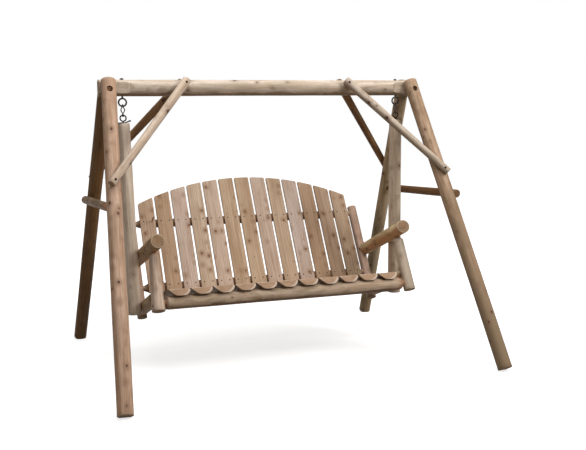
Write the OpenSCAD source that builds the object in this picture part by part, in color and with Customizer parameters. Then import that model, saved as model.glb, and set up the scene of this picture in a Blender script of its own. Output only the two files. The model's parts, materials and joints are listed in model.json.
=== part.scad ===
// Log porch swing: a bench of peeled cedar logs, half-round seat slabs and flat back slats,
// hung by steel eyes and links from an A-frame of four splayed legs and a round top beam.
// +X runs along the beam to the sitter's left-hand post, -Y is the side the sitter faces,
// and the origin is on the ground under the middle of the beam.

/* [Frame] */
// Height of the beam's axis above the ground
beam_h = 1814; // [1500:1:2100]
// Diameter of the top beam
beam_d = 107; // [90:1:130]
// Distance between the two leg pairs, measured on the beam's axis
leg_span = 2112; // [2080:1:2300]
// How far the beam runs past the middle of a leg pair
beam_past = 55; // [45:1:120]
// Diameter of a leg
leg_d = 95; // [80:1:110]
// Lean of a leg to the front or the rear, in degrees
leg_lean = 28.7; // [22:0.1:32]
// Splay of a leg outwards along the beam, in degrees
leg_splay = 3.97; // [2:0.01:6]
// Distance from the beam's middle plane to the flat where a leg is clamped on it
lap_y = 37.5; // [32:0.5:42]
// Depth of the flat on the leg's inner side
leg_lap = 18; // [10:1:25]
// How far a leg's top end stands above the beam's axis
leg_rise = 44; // [40:1:80]
// Height of the middle of a leg's square-cut foot, before its heel is levelled
foot_lift = 15; // [8:1:20]

/* [Stretchers and braces] */
// Height of the side stretchers
stretcher_z = 1082; // [900:1:1200]
// Diameter of a side stretcher
stretcher_d = 57; // [45:1:70]
// Diameter of the stretcher's tenon
stretcher_tenon_d = 40; // [30:1:42]
// Depth of the notch by which a stretcher is lapped over its outer leg
stretcher_notch = 24; // [3:1:26]
// How far a stretcher runs past the screw in its outer leg
stretcher_past = 36; // [30:1:120]
// Diameter of a brace at its foot
brace_d = 50; // [40:1:60]
// Diameter of a brace at its top
brace_top_d = 59; // [45:1:65]
// Distance from the middle of the beam to a brace's top screw
brace_top_x = 566; // [450:1:700]
// Height of a brace's foot screw
brace_foot_z = 1257; // [1150:1:1350]
// How far a brace runs past its screws
brace_past = 42; // [35:1:50]
// How deep a brace is scribed over the beam and the leg
brace_notch = 7; // [4:1:12]

/* [Bench side frames] */
// How far back the bench hangs, in degrees
bench_tilt = 18; // [12:1:22]
// Distance from the middle of the bench to its side frames
side_x = 853; // [800:1:880]
// Front to rear distance from the arm post to the back post, on the side rail
side_depth = 618; // [560:1:680]
// Height of the arm above the side rail
arm_h = 327; // [280:1:380]
// Diameter of an arm
arm_d = 92; // [80:1:100]
// How far an arm runs in front of its post
arm_front = 140; // [100:1:180]
// Toe-in of the arms towards the front, in degrees
arm_toe = 3; // [0:0.1:4]
// Diameter of an arm post at its foot
arm_post_d = 84; // [75:1:90]
// Diameter of an arm post at its shoulder
arm_post_top_d = 74; // [70:1:75]
// Backward lean of an arm post from the side frame's normal, in degrees
arm_post_lean = 7; // [3:0.5:12]
// Diameter of a back post
back_post_d = 68; // [62:1:76]
// Backward lean of a back post from the side frame's normal, in degrees
back_lean = 11; // [8:0.5:16]
// Height of a back post's top above the side rail
back_post_h = 675; // [620:1:760]
// Diameter of a side rail
side_rail_d = 84; // [78:1:90]
// Length of an arm post below the side rail
arm_post_foot = 96; // [90:1:110]
// Length of a back post below the side rail
back_post_foot = 54; // [50:1:80]
// Diameter of the tenons on arms posts, side rails and the rear rail
tenon_d = 38; // [30:1:40]

/* [Seat and back] */
// Diameter of the front rail at its left end
front_rail_d = 86; // [80:1:96]
// Diameter of the front rail at its right end
front_rail_thick_d = 98; // [86:1:104]
// Diameter of the front rail's tenons
front_tenon_d = 44; // [36:1:45]
// How far the front rail lies below the side rails
front_rail_drop = 46; // [45:1:60]
// Diameter of the rear rail
rear_rail_d = 66; // [60:1:78]
// Distance from the arm post to the rear rail
rear_rail_y = 535; // [480:1:545]
// Number of seat slabs
slab_n = 11; // [9:1:11]
// Width of a seat slab
slab_w = 138; // [110:1:139]
// Depth of a seat slab, from its flat top to the round underneath
slab_t = 48; // [40:1:56]
// Spacing of the seat slabs
slab_pitch = 141; // [140:1:143]
// Sideways shift of the row of slabs
slab_shift = -20; // [-22:1:22]
// How far the slabs reach in front of the front rail's axis
slab_front = 55; // [52:1:80]
// Depth of the saddle by which a slab sits on the thin end of the front rail
slab_saddle = 12; // [8:1:16]
// Rise of the seat to the rear in the bench's own frame, in degrees
seat_rise = 5.5; // [3:0.5:8]
// Number of back slats
slat_n = 13; // [11:1:13]
// Width of a back slat
slat_w = 108; // [80:1:110]
// Thickness of a back slat
slat_t = 18; // [16:1:22]
// Spacing of the back slats
slat_pitch = 123; // [115:0.1:124]
// Height of the middle slat's top along the back
slat_top = 956; // [860:1:1040]
// Radius of the arch along the tops of the slats
arch_r = 1809; // [1400:1:2600]
// Distance from the back posts' plane to the slats' rear face
slat_back = 28; // [26:1:30]
// Diameter of the upper back rail
upper_rail_d = 60; // [60:1:72]
// Height of the upper back rail along the back
upper_rail_s = 636; // [560:1:645]
// Diameter of the lower back rail
lower_rail_d = 64; // [60:1:78]
// Height of the lower back rail along the back
lower_rail_s = 154; // [150:1:220]

/* [Hanging] */
// Diameter of a hanger
hanger_d = 90; // [86:1:100]
// Height of a hanger's foot above the ground
hanger_foot_z = 353; // [340:1:360]
// Distance from a hanger's top to the lower eye's bar
hanger_top_drop = 51; // [45:1:70]
// Outward lean of a hanger, in degrees
hanger_splay = 1.2; // [0.5:0.01:1.5]
// Depth of the saddle where a hanger is bolted on its side rail
hanger_saddle = 3; // [2:0.5:5]
// Outer diameter of the beam's eyes
beam_eye_d = 60; // [56:1:70]
// Wire diameter of the beam's eyes
beam_eye_wire = 11; // [9:0.5:12]
// Distance from the beam's axis down to the bar of its eye
beam_eye_drop = 115.5; // [112:0.5:130]
// Outer diameter of the hanger's eyes
hanger_eye_d = 47; // [44:1:56]
// Wire diameter of the hanger's eyes
hanger_eye_wire = 9; // [7:0.5:10]
// Distance between the bars that a link joins
link_pitch = 56.5; // [50:0.5:80]
// Wire diameter of a link
link_wire = 7.5; // [6:0.5:8]
// Outer width of a link
link_w = 30; // [28:0.5:34]
// Turn of a link about the vertical, in degrees
link_turn = 25; // [0:1:30]

/* [Fits] */
// Gap round tenons in their mortises
tenon_gap = 0.3; // [0.1:0.1:0.6]
// Gap round bolts and screws in their holes
bolt_gap = 0.2; // [0.1:0.1:0.5]
// Running gap between a link and an eye
link_gap = 0.6; // [0.4:0.1:1]
// Gap between scribed saddles and the logs that they fit
saddle_gap = 0.2; // [0.1:0.1:0.5]
// Gap between the back slats' feet and the seat
slat_foot_gap = 5; // [3:1:12]
// Width of the rim bevel on a log's cut ends
rim = 4; // [2:1:6]

/* [Hidden] */
$fn = 96;
rotate_fn = 96;

// Leg geometry
leg_x = leg_span / 2;
beam_l = leg_span + 2 * beam_past;
leg_y = lap_y + (leg_d / 2 - leg_lap) / cos(leg_lean);
leg_dx = tan(leg_splay);
leg_dy = tan(leg_lean);
leg_l = (beam_h + leg_rise - foot_lift) * norm([leg_dx, leg_dy, 1]);
bolt_d = 12;
bolt_seat_y = leg_y + 12;
counterbore_d = 37;
bolt_head_d = 24;
bolt_head_t = 8;
bolt_past = 4;
nut_t = 10;
washer_d = 32;
washer_t = 2.5;

// Stretchers and braces
screw_d = 7;
screw_head_d = 15;
screw_head_t = 5;
brace_screw_l = 72;
brace_screw_depth = 6;
brace_screw_rise = 32;
brace_top_rise = 34;
brace_head = 22;
leg_bolt_z = beam_h - 11;
flat_run = 100;
flat_ramp = 50;
stretcher_neck = 30;
stretcher_cone_l = 18;

// Bench frame: origin on the left-right middle, where side rail and arm post axes cross
bench_y = -364;
bench_z = beam_h - 1290;
front_rail_z = -front_rail_drop;
front_rail_y = front_rail_z * tan(arm_post_lean);
arm_out = 3;
arm_short = 12;
arm_post_seat = 8;
arm_tenon_past = 12;
front_tenon_l = 34;
cross_tenon_l = 30;
side_tenon_front = 28;
side_tenon_rear = 24;
back_cone_l = 30;
shoulder_l = 16;
arm_post_top = arm_h - arm_d / 2 - arm_post_seat;

// Seat plane: height of a slab's underside at distance y from the arm posts' axis
slab_foot_y = front_rail_y - slab_front;
slab_low_z = front_rail_z + front_rail_d / 2 - slab_saddle - slab_front * tan(seat_rise);
function slab_under(y) = slab_low_z + (y - slab_foot_y) * tan(seat_rise);
slab_r = (slab_w * slab_w / 4 + slab_t * slab_t) / (2 * slab_t);
slab_flat = 5;
rear_saddle = 8;
rear_rail_z = slab_under(rear_rail_y) + rear_saddle - rear_rail_d / 2;
slab_tail_y = side_depth - 30;
slab_l = (slab_tail_y - slab_foot_y) / cos(seat_rise);
slab_top_tail = slab_under(slab_tail_y) + slab_t / cos(seat_rise);
slat_foot_s = (slab_top_tail + slat_foot_gap) / cos(back_lean) + (slat_back + slat_t) * tan(back_lean);
slat_screw_x = 30;
slat_screw_l = 50;
slat_screw_d = 4;
slat_head_d = 9;
slat_head_t = 3;
seat_screw_l = 70;
arm_screw_l = 120;
arm_screw_rear_l = 74;
arm_screw_reach = 50;
screw_sink = 6;

// Hangers, eyes and links
upper_bar_z = beam_h - beam_eye_drop;
lower_bar_z = upper_bar_z - link_pitch;
hanger_top_z = lower_bar_z - hanger_top_drop;
side_rail_mid = [-bench_y / cos(bench_tilt), bench_z + bench_y * tan(bench_tilt)];
hanger_ref_z = side_rail_mid[1];
hanger_ref_x = side_x + (side_rail_d + hanger_d) / 2 - hanger_saddle;
arm_mid_y = (-bench_y - arm_h * sin(bench_tilt)) / cos(bench_tilt);
arm_mid_z = bench_z - arm_mid_y * sin(bench_tilt) + arm_h * cos(bench_tilt);
function hanger_axis_x(z) = hanger_ref_x + (z - hanger_ref_z) * tan(hanger_splay);
eye_x = hanger_axis_x(hanger_top_z);
eye_nut_d = 21;
eye_nut_t = 9;
eye_washer_d = 30;
eye_flat = 6;
eye_past = 8;
eye_screw_l = 110;
plate_outer = 41;
plate_inner = 14;
plate_w = 34;
plate_t = 6;
plate_kick = 34;
plate_kick_a = 20;
lag_d = 9;
lag_head_d = 20;
lag_head_t = 7;
lag_l = 118;
lag_seat = 5;

sides = [-1, 1];
big = 3000;

// ---- helpers ----

// Turns +Z children to lie along v
module along(v) {
    rotate([0, acos(v[2] / norm(v)), atan2(v[1], v[0])]) children();
}

// A log on +Z with bevelled rims; r1 at its foot and r2 at its head
module log(l, r1, r2) {
    rotate_extrude($fn = rotate_fn)
        polygon([[0, 0], [r1 - rim, 0], [r1, rim], [r2, l - rim], [r2 - rim, l], [0, l]]);
}

// A plain round cutter on +Z that scribes a saddle for a log of radius r
module saddle(l, r) {
    translate([0, 0, -rim]) cylinder(h = l + 2 * rim, r = r + saddle_gap, $fn = rotate_fn);
}

// A log on +Z between -a and b, whittled at each end by a cone to a tenon
module tenoned_log(a, b, r1, r2, cone1, cone2, tenon1, tenon2, tenon_r) {
    rotate_extrude($fn = rotate_fn)
        polygon([[0, -a - tenon1], [tenon_r, -a - tenon1], [tenon_r, -a], [r1, -a + cone1],
                 [r2, b - cone2], [tenon_r, b], [tenon_r, b + tenon2], [0, b + tenon2]]);
}

// A countersunk wood screw driven down -Z with its head's top at z = 0; gap widens it for the hole
module screw(l, d, head_d, head_t, gap = 0) {
    translate([0, 0, -head_t]) cylinder(h = head_t + (gap > 0 ? big / 50 : 0), d = head_d + 2 * gap);
    translate([0, 0, -l]) cylinder(h = l - head_t / 2, d = d + 2 * gap);
}

module mirrored(sx) {
    if (sx > 0) children();
    else mirror([1, 0, 0]) children();
}

module faced(sy) {
    if (sy > 0) children();
    else mirror([0, 1, 0]) children();
}

// The second A-frame side is the first turned half round the vertical
module turned(s) {
    rotate([0, 0, s > 0 ? 180 : 0]) children();
}

// Places children made in the bench's own frame
module in_bench() {
    translate([0, bench_y, bench_z]) rotate([-bench_tilt, 0, 0]) children();
}

// Places children on the plane through the back posts: x across, y behind it, z up along it
module on_back() {
    in_bench() translate([0, side_depth, 0]) rotate([-back_lean, 0, 0]) children();
}

// ---- frame ----

function leg_point(sx, sy, z) =
    [sx * (leg_x + (beam_h - z) * leg_dx), sy * (leg_y + (beam_h - z) * leg_dy), z];
function leg_up(sx, sy) = [-sx * leg_dx, -sy * leg_dy, 1];

// A plain leg cylinder between its square-cut ends
module leg_log(sx, sy) {
    translate(leg_point(sx, sy, foot_lift)) along(leg_up(sx, sy)) rotate([0, 0, 130])
        log(leg_l, leg_d / 2, leg_d / 2);
}

module leg_saddle(sx, sy) {
    translate(leg_point(sx, sy, foot_lift)) along(leg_up(sx, sy)) saddle(leg_l, leg_d / 2);
}

module leg(sx, sy) {
    difference() {
        leg_log(sx, sy);
        translate([-big / 2, -sy * (big / 2 - lap_y) - big / 2, 0]) cube([big, big, big]);
        translate([-big / 2, -big / 2, -big]) cube([big, big, big]);
        leg_bolt_hole(sx);
        stretcher_mortise(sx, sy);
        stretcher_screw_at(sx, bolt_gap);
        brace_screw_pair(sx, sy, bolt_gap);
    }
}

// Stretchers: tenoned into one leg, lapped and screwed on the outside of the other
stretcher_lap = (leg_d + stretcher_d) / 2 - stretcher_notch;
stretcher_a = leg_point(-1, -1, stretcher_z);
stretcher_b = leg_point(-1, 1, stretcher_z) + [-stretcher_lap / cos(leg_splay), 0, 0];
stretcher_v = stretcher_b - stretcher_a;
stretcher_l = norm(stretcher_v);
stretcher_tenon_l = 26;

module stretcher_log() {
    translate(stretcher_a) along(stretcher_v)
        rotate_extrude($fn = rotate_fn)
            polygon([[0, -stretcher_tenon_l], [stretcher_tenon_d / 2, -stretcher_tenon_l],
                     [stretcher_tenon_d / 2, leg_d / 2 + stretcher_neck],
                     [stretcher_d / 2, leg_d / 2 + stretcher_neck + stretcher_cone_l],
                     [stretcher_d / 2, stretcher_l + stretcher_past - rim],
                     [stretcher_d / 2 - rim, stretcher_l + stretcher_past],
                     [0, stretcher_l + stretcher_past]]);
}

module stretcher_mortise(sx, sy) {
    if (sx == sy)
        turned(sx) translate(stretcher_a) along(stretcher_v)
            translate([0, 0, -stretcher_tenon_l - 2])
                cylinder(h = leg_d + stretcher_tenon_l, d = stretcher_tenon_d + 2 * tenon_gap);
}

module stretcher_screw_at(sx, gap = 0) {
    turned(sx) translate(stretcher_b + [-stretcher_d / 2 + 4, 0, 0]) rotate([0, -90, 0])
        screw(stretcher_d + 30, screw_d, screw_head_d, screw_head_t, gap);
}

module stretcher(sx) {
    color("rosybrown") difference() {
        turned(sx) stretcher_log();
        leg_saddle(sx, -sx);
        stretcher_screw_at(sx, bolt_gap);
    }
}

// Braces: from the face of the beam to the face of a leg
function brace_off(sy) = sy * ((leg_d + brace_d) / 2 - brace_notch) / cos(leg_lean);
function brace_top(sx, sy) =
    [sx * brace_top_x, sy * ((beam_d + brace_top_d) / 2 - brace_notch), beam_h + brace_top_rise];
function brace_foot(sx, sy) = leg_point(sx, sy, brace_foot_z) + [0, brace_off(sy), 0];

module brace_log(sx, sy) {
    v = brace_top(sx, sy) - brace_foot(sx, sy);
    translate(brace_foot(sx, sy)) along(v) translate([0, 0, -brace_past])
        log(norm(v) + brace_past + brace_head, brace_d / 2, brace_top_d / 2);
}

// One screw through each end of a brace, into the leg and into the beam
module brace_screw_pair(sx, sy, gap = 0) {
    top = brace_top(sx, sy);
    for (p = [[top[0], top[1] + sy * (brace_top_d / 2 - brace_screw_depth), beam_h + brace_screw_rise],
              brace_foot(sx, sy) + [0, sy * (brace_d / 2 - brace_screw_depth), 0]])
        translate(p) rotate([-sy * 90, 0, 0])
            screw(brace_screw_l, screw_d, screw_head_d, screw_head_t, gap);
}

module brace(sx, sy) {
    color(sy < 0 ? "bisque" : "sienna") difference() {
        brace_log(sx, sy);
        translate([-beam_l / 2, 0, beam_h]) rotate([0, 90, 0]) saddle(beam_l, beam_d / 2);
        leg_saddle(sx, sy);
        brace_screw_pair(sx, sy, bolt_gap);
    }
}

module beam_log() {
    translate([-beam_l / 2, 0, beam_h]) rotate([0, 90, 0]) log(beam_l, beam_d / 2, beam_d / 2);
}

// Flats on the beam's ends, each with a ramp where the cut runs out
module beam_flats() {
    for (sx = sides, sy = sides)
        mirrored(sx) faced(sy) translate([0, 0, beam_h - beam_d])
            linear_extrude(2 * beam_d)
                polygon([[leg_x - flat_run - flat_ramp, beam_d], [leg_x - flat_run - flat_ramp, beam_d / 2],
                         [leg_x - flat_run, lap_y], [leg_x + big, lap_y], [leg_x + big, beam_d]]);
}

module leg_bolt_hole(sx) {
    for (sy = sides)
        translate([sx * leg_x, 0, leg_bolt_z]) rotate([-sy * 90, 0, 0]) {
            translate([0, 0, -1]) cylinder(h = 2 * bolt_seat_y, d = bolt_d + 2 * bolt_gap);
            translate([0, 0, bolt_seat_y]) cylinder(h = 2 * leg_d, d = counterbore_d);
        }
}

module top_beam() {
    color("tan") difference() {
        beam_log();
        beam_flats();
        for (sx = sides) leg_bolt_hole(sx);
        for (sx = sides) translate([sx * eye_x, 0, beam_h - beam_d])
            cylinder(h = 2 * beam_d, d = beam_eye_wire + 1 + 2 * bolt_gap);
        for (sx = sides) translate([sx * eye_x, 0, beam_h + beam_d / 2 - eye_flat])
            cylinder(h = 60, d = eye_washer_d + 4);
        for (sx = sides, sy = sides) brace_screw_pair(sx, sy, bolt_gap);
    }
}

module hex_nut(d, t, bore) {
    difference() {
        cylinder(h = t, d = d / cos(30), $fn = 6);
        translate([0, 0, -1]) cylinder(h = t + 2, d = bore);
    }
}

// Bolt heads sit in the front counterbores, nuts in the rear ones
module leg_bolts() {
    grip = 2 * (bolt_seat_y + washer_t);
    color("dimgray") for (sx = sides)
        translate([sx * leg_x, -grip / 2, leg_bolt_z]) rotate([90, 0, 0]) {
            cylinder(h = bolt_head_t, d = bolt_head_d / cos(30), $fn = 6);
            translate([0, 0, -grip - nut_t - bolt_past])
                cylinder(h = grip + nut_t + bolt_past + 1, d = bolt_d);
        }
}

module leg_nuts() {
    color("dimgray") for (sx = sides)
        translate([sx * leg_x, bolt_seat_y + washer_t, leg_bolt_z]) rotate([-90, 0, 0])
            hex_nut(bolt_head_d, nut_t, bolt_d + 2 * bolt_gap);
}

module leg_washers() {
    color("silver") for (sx = sides, sy = sides)
        translate([sx * leg_x, sy * bolt_seat_y, leg_bolt_z]) rotate([-sy * 90, 0, 0]) difference() {
            cylinder(h = washer_t, d = washer_d);
            translate([0, 0, -1]) cylinder(h = washer_t + 2, d = bolt_d + 2 * bolt_gap);
        }
}

module stretcher_screws() {
    color("dimgray") for (sx = sides) stretcher_screw_at(sx);
}

module brace_screws() {
    color("dimgray") for (sx = sides, sy = sides) brace_screw_pair(sx, sy);
}

// ---- hanging hardware ----

// A ring in the XZ plane whose bar centre nearest the link lies at z = 0
module eye_ring(d, wire, side) {
    translate([0, 0, side * (d - wire) / 2]) rotate([90, 0, 0])
        rotate_extrude($fn = rotate_fn) translate([(d - wire) / 2, 0]) circle(d = wire, $fn = 48);
}

module beam_eye_bolts() {
    shank_z = beam_eye_d - beam_eye_wire;
    color("dimgray") for (sx = sides) translate([sx * eye_x, 0, upper_bar_z]) {
        eye_ring(beam_eye_d, beam_eye_wire, 1);
        translate([0, 0, shank_z])
            cylinder(h = beam_eye_drop + beam_d / 2 + eye_past - shank_z, d = beam_eye_wire + 1);
    }
}

module beam_eye_nuts() {
    color("dimgray") for (sx = sides) translate([sx * eye_x, 0, beam_h + beam_d / 2 - eye_flat + washer_t])
        hex_nut(eye_nut_d, eye_nut_t, beam_eye_wire + 1 + 2 * bolt_gap);
}

module beam_eye_washers() {
    color("silver") for (sx = sides) translate([sx * eye_x, 0, beam_h + beam_d / 2 - eye_flat]) difference() {
        cylinder(h = washer_t, d = eye_washer_d);
        translate([0, 0, -1]) cylinder(h = washer_t + 2, d = beam_eye_wire + 1 + 2 * bolt_gap);
    }
}

// An oval link in the YZ plane, turned about the vertical, round both bars
link_bend_r = (link_w - link_wire) / 2;
link_top_z = beam_eye_wire / 2 + link_gap + link_wire / 2;
link_low_z = -link_pitch - hanger_eye_wire / 2 - link_gap - link_wire / 2;

module link_bend() {
    rotate_extrude(angle = 180, $fn = rotate_fn) translate([link_bend_r, 0]) circle(d = link_wire, $fn = 48);
}

module link(sx) {
    color("dimgray") translate([sx * eye_x, 0, upper_bar_z]) rotate([0, 0, 90 - link_turn]) {
        translate([0, 0, link_top_z - link_bend_r]) rotate([90, 0, 0]) link_bend();
        translate([0, 0, link_low_z + link_bend_r]) rotate([-90, 0, 0]) link_bend();
        for (s = sides) translate([s * link_bend_r, 0, link_low_z + link_bend_r])
            cylinder(h = link_top_z - link_low_z - 2 * link_bend_r, d = link_wire, $fn = 48);
    }
}

module hanger_eye_shank(sx, gap = 0) {
    eye_low_z = lower_bar_z - (hanger_eye_d - hanger_eye_wire);
    tip_z = hanger_top_z - eye_screw_l - gap;
    translate([sx * eye_x, 0, tip_z])
        cylinder(h = eye_low_z - tip_z, d = hanger_eye_wire + 1 + 2 * gap);
}

module hanger_eyes() {
    color("dimgray") for (sx = sides) {
        translate([sx * eye_x, 0, lower_bar_z]) eye_ring(hanger_eye_d, hanger_eye_wire, -1);
        hanger_eye_shank(sx);
    }
}

// A flat strap under each eye, its inner end bent up
module hanger_plates() {
    kick_end = [-plate_inner - plate_kick * cos(plate_kick_a), plate_kick * sin(plate_kick_a)];
    outline = [[-plate_inner, 0], [plate_outer, 0], [plate_outer, plate_t],
               [plate_t * tan(plate_kick_a / 2) - plate_inner, plate_t],
               kick_end + plate_t * [sin(plate_kick_a), cos(plate_kick_a)], kick_end];
    color("black") for (sx = sides) mirrored(sx) difference() {
        on_hanger(1) translate([0, plate_w / 2, hanger_l]) rotate([90, 0, 0])
            linear_extrude(plate_w) polygon(outline);
        hanger_eye_shank(1, bolt_gap);
    }
}

// ---- bench: hangers and side frames ----

hanger_l = (hanger_top_z - hanger_foot_z) / cos(hanger_splay);

module on_hanger(sx) {
    mirrored(sx) translate([hanger_ref_x, 0, hanger_ref_z]) rotate([0, hanger_splay, 0])
        translate([0, 0, hanger_foot_z - hanger_ref_z]) children();
}

// Lag screws through a hanger into its side rail and its arm
module hanger_lag_pair(sx, gap = 0) {
    for (z = [hanger_ref_z, arm_mid_z])
        mirrored(sx) translate([hanger_axis_x(z) + hanger_d / 2 - lag_seat, 0, z]) rotate([0, 90, 0]) {
            cylinder(h = lag_head_t + (gap > 0 ? hanger_d : 0), d = lag_head_d + 2 * gap);
            translate([0, 0, -lag_l]) cylinder(h = lag_l + 1, d = lag_d + 2 * gap);
        }
}

module hanger(sx) {
    color("tan") difference() {
        on_hanger(sx) log(hanger_l, hanger_d / 2, hanger_d / 2);
        hanger_lag_pair(sx, bolt_gap);
        hanger_eye_shank(sx, bolt_gap);
    }
}

module hanger_lags() {
    color("dimgray") for (sx = sides) hanger_lag_pair(sx);
}

// An arm runs from in front of its post to just short of the back post's axis, turned in at the front
arm_front_y = arm_h * tan(arm_post_lean) - arm_front;
arm_rear_y = side_depth + arm_h * tan(back_lean) - arm_short;

function arm_x(y) = side_x + arm_out + (y - arm_mid_y) * tan(arm_toe);
arm_post_in = atan((side_x - arm_x(arm_h * tan(arm_post_lean))) * cos(arm_post_lean) / arm_h);

module arm_log() {
    translate([arm_x(arm_front_y), arm_front_y, arm_h]) rotate([0, 0, -arm_toe]) rotate([-90, 0, 0])
        log((arm_rear_y - arm_front_y) / cos(arm_toe), arm_d / 2, arm_d / 2);
}

back_post_l = (back_post_h + back_post_foot) / cos(back_lean);

module on_back_post() {
    translate([side_x, side_depth, 0]) rotate([-back_lean, 0, 0])
        translate([0, 0, -back_post_foot]) children();
}

// The arm post's axis: z = 0 at the side rail, its top leaning in to meet the arm
module on_arm_post() {
    translate([side_x, 0, 0]) rotate([-arm_post_lean, 0, 0]) rotate([0, -arm_post_in, 0]) children();
}

module arm_post_log() {
    top = arm_post_top / cos(arm_post_lean);
    on_arm_post() rotate_extrude($fn = rotate_fn)
        polygon([[0, -arm_post_foot], [arm_post_d / 2 - rim, -arm_post_foot],
                 [arm_post_d / 2, -arm_post_foot + rim],
                 [arm_post_top_d / 2, top - shoulder_l], [tenon_d / 2, top + arm_post_seat - 2],
                 [tenon_d / 2, top + arm_d / 2 + arm_tenon_past], [0, top + arm_d / 2 + arm_tenon_past]]);
}

module arm_mortise() {
    on_arm_post() cylinder(h = arm_post_top / cos(arm_post_lean) + arm_d / 2 + arm_tenon_past + 2,
                           d = tenon_d + 2 * tenon_gap);
}

// A screw down through the arm into its post, and one through the arm's rear end into the back post
module arm_screw_pair(gap = 0) {
    on_arm_post() translate([0, 0, (arm_h + arm_d / 2) / cos(arm_post_lean) - screw_sink])
        screw(arm_screw_l, screw_d, screw_head_d, screw_head_t, gap);
    translate([side_x, side_depth + arm_h * tan(back_lean), arm_h]) rotate([0, -90, 60])
        translate([0, 0, arm_screw_reach]) screw(arm_screw_rear_l, screw_d, screw_head_d, screw_head_t, gap);
}

module arm(sx) {
    color("burlywood") mirrored(sx) difference() {
        in_bench() arm_log();
        in_bench() on_back_post() saddle(back_post_l, back_post_d / 2);
        in_bench() arm_mortise();
        in_bench() arm_screw_pair(bolt_gap);
        on_hanger(1) saddle(hanger_l, hanger_d / 2);
        hanger_lag_pair(1, bolt_gap);
    }
}

// Side rail between its two posts, tenoned into both
side_rail_front = arm_post_d / 2 + 3;
side_rail_rear = side_depth - back_post_d / 2 - 3;

module side_rail_log() {
    translate([side_x, 0, 0]) rotate([-90, 0, 0])
        tenoned_log(-side_rail_front, side_rail_rear, side_rail_d / 2, side_rail_d / 2,
                    shoulder_l, shoulder_l, side_tenon_front, side_tenon_rear, tenon_d / 2);
}

module side_rail_mortise() {
    translate([side_x, side_rail_front - side_tenon_front - 2, 0]) rotate([-90, 0, 0])
        cylinder(h = side_rail_rear - side_rail_front + side_tenon_front + side_tenon_rear + 4,
                 d = tenon_d + 2 * tenon_gap);
}

module side_rail(sx) {
    color("burlywood") mirrored(sx) difference() {
        in_bench() side_rail_log();
        in_bench() rear_rail_mortise();
        in_bench() on_back_post() saddle(back_post_l, back_post_d / 2);
        in_bench() on_arm_post() translate([0, 0, -arm_post_foot]) saddle(2 * arm_post_foot, arm_post_d / 2);
        on_hanger(1) saddle(hanger_l, hanger_d / 2);
        hanger_lag_pair(1, bolt_gap);
    }
}

module arm_post(sx) {
    color("tan") mirrored(sx) in_bench() difference() {
        arm_post_log();
        side_rail_mortise();
        front_rail_mortise();
        arm_screw_pair(bolt_gap);
    }
}

module back_post(sx) {
    color("rosybrown") mirrored(sx) difference() {
        in_bench() on_back_post() log(back_post_l, back_post_d / 2, back_post_d / 2);
        in_bench() side_rail_mortise();
        in_bench() arm_screw_pair(bolt_gap);
        on_back() for (s = [lower_rail_s, upper_rail_s]) back_rail_mortise(s);
    }
}

// ---- bench: cross rails ----

front_rail_end = side_x - arm_post_d / 2 - 2;
front_cone_l = 12;
front_cone_thick_l = 78;

// grow widens the rail for the saddles cut over it
module front_rail_log(grow = 0) {
    translate([0, front_rail_y, front_rail_z]) rotate([0, 90, 0])
        tenoned_log(front_rail_end, front_rail_end, front_rail_d / 2 + grow, front_rail_thick_d / 2 + grow,
                    front_cone_l, front_cone_thick_l, front_tenon_l, front_tenon_l, front_tenon_d / 2 + grow);
}

module front_rail_mortise() {
    translate([front_rail_end - 2, front_rail_y, front_rail_z]) rotate([0, 90, 0])
        cylinder(h = front_tenon_l + 4, d = front_tenon_d + 2 * tenon_gap);
}

module front_rail() {
    color("tan") in_bench() difference() {
        front_rail_log();
        slab_screws(bolt_gap);
    }
}

rear_rail_end = side_x - side_rail_d / 2 - 2;

module rear_rail_log(grow = 0) {
    translate([0, rear_rail_y, rear_rail_z]) rotate([0, 90, 0])
        tenoned_log(rear_rail_end, rear_rail_end, rear_rail_d / 2 + grow, rear_rail_d / 2 + grow,
                    shoulder_l, shoulder_l, cross_tenon_l, cross_tenon_l, tenon_d / 2 + grow);
}

module rear_rail_mortise() {
    translate([rear_rail_end - 2, rear_rail_y, rear_rail_z]) rotate([0, 90, 0])
        cylinder(h = cross_tenon_l + 4, d = tenon_d + 2 * tenon_gap);
}

module rear_rail() {
    color("rosybrown") in_bench() difference() {
        rear_rail_log();
        slab_screws(bolt_gap);
    }
}

back_rail_end = side_x - back_post_d / 2 - 2;

module back_rail_mortise(s) {
    translate([back_rail_end - 2, 0, s]) rotate([0, 90, 0])
        cylinder(h = cross_tenon_l + 4, d = tenon_d + 2 * tenon_gap);
}

// Back rails have a flat planed on the front, where the slats lie
module back_rail(d, s) {
    color("sienna") on_back() difference() {
        translate([0, 0, s]) rotate([0, 90, 0])
            tenoned_log(back_rail_end, back_rail_end, d / 2, d / 2, back_cone_l, back_cone_l,
                        cross_tenon_l, cross_tenon_l, tenon_d / 2);
        translate([-back_rail_end, -slat_back - 100, s - 100]) cube([2 * back_rail_end, 100, 200]);
        for (k = [0 : slat_n - 1]) slat_screw_set(k, bolt_gap);
    }
}

// ---- bench: slabs and slats ----

function slab_x(k) = (k - (slab_n - 1) / 2) * slab_pitch + slab_shift;
function slat_x(k) = (k - (slat_n - 1) / 2) * slat_pitch;

module slab(k) {
    translate([slab_x(k), slab_foot_y, slab_low_z]) rotate([seat_rise, 0, 0])
        translate([0, 0, slab_t]) rotate([-90, 0, 0]) linear_extrude(slab_l) intersection() {
            translate([0, slab_t - slab_r]) circle(r = slab_r, $fn = 128);
            translate([-slab_w, 0]) square([2 * slab_w, slab_t - slab_flat]);
        }
}

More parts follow.
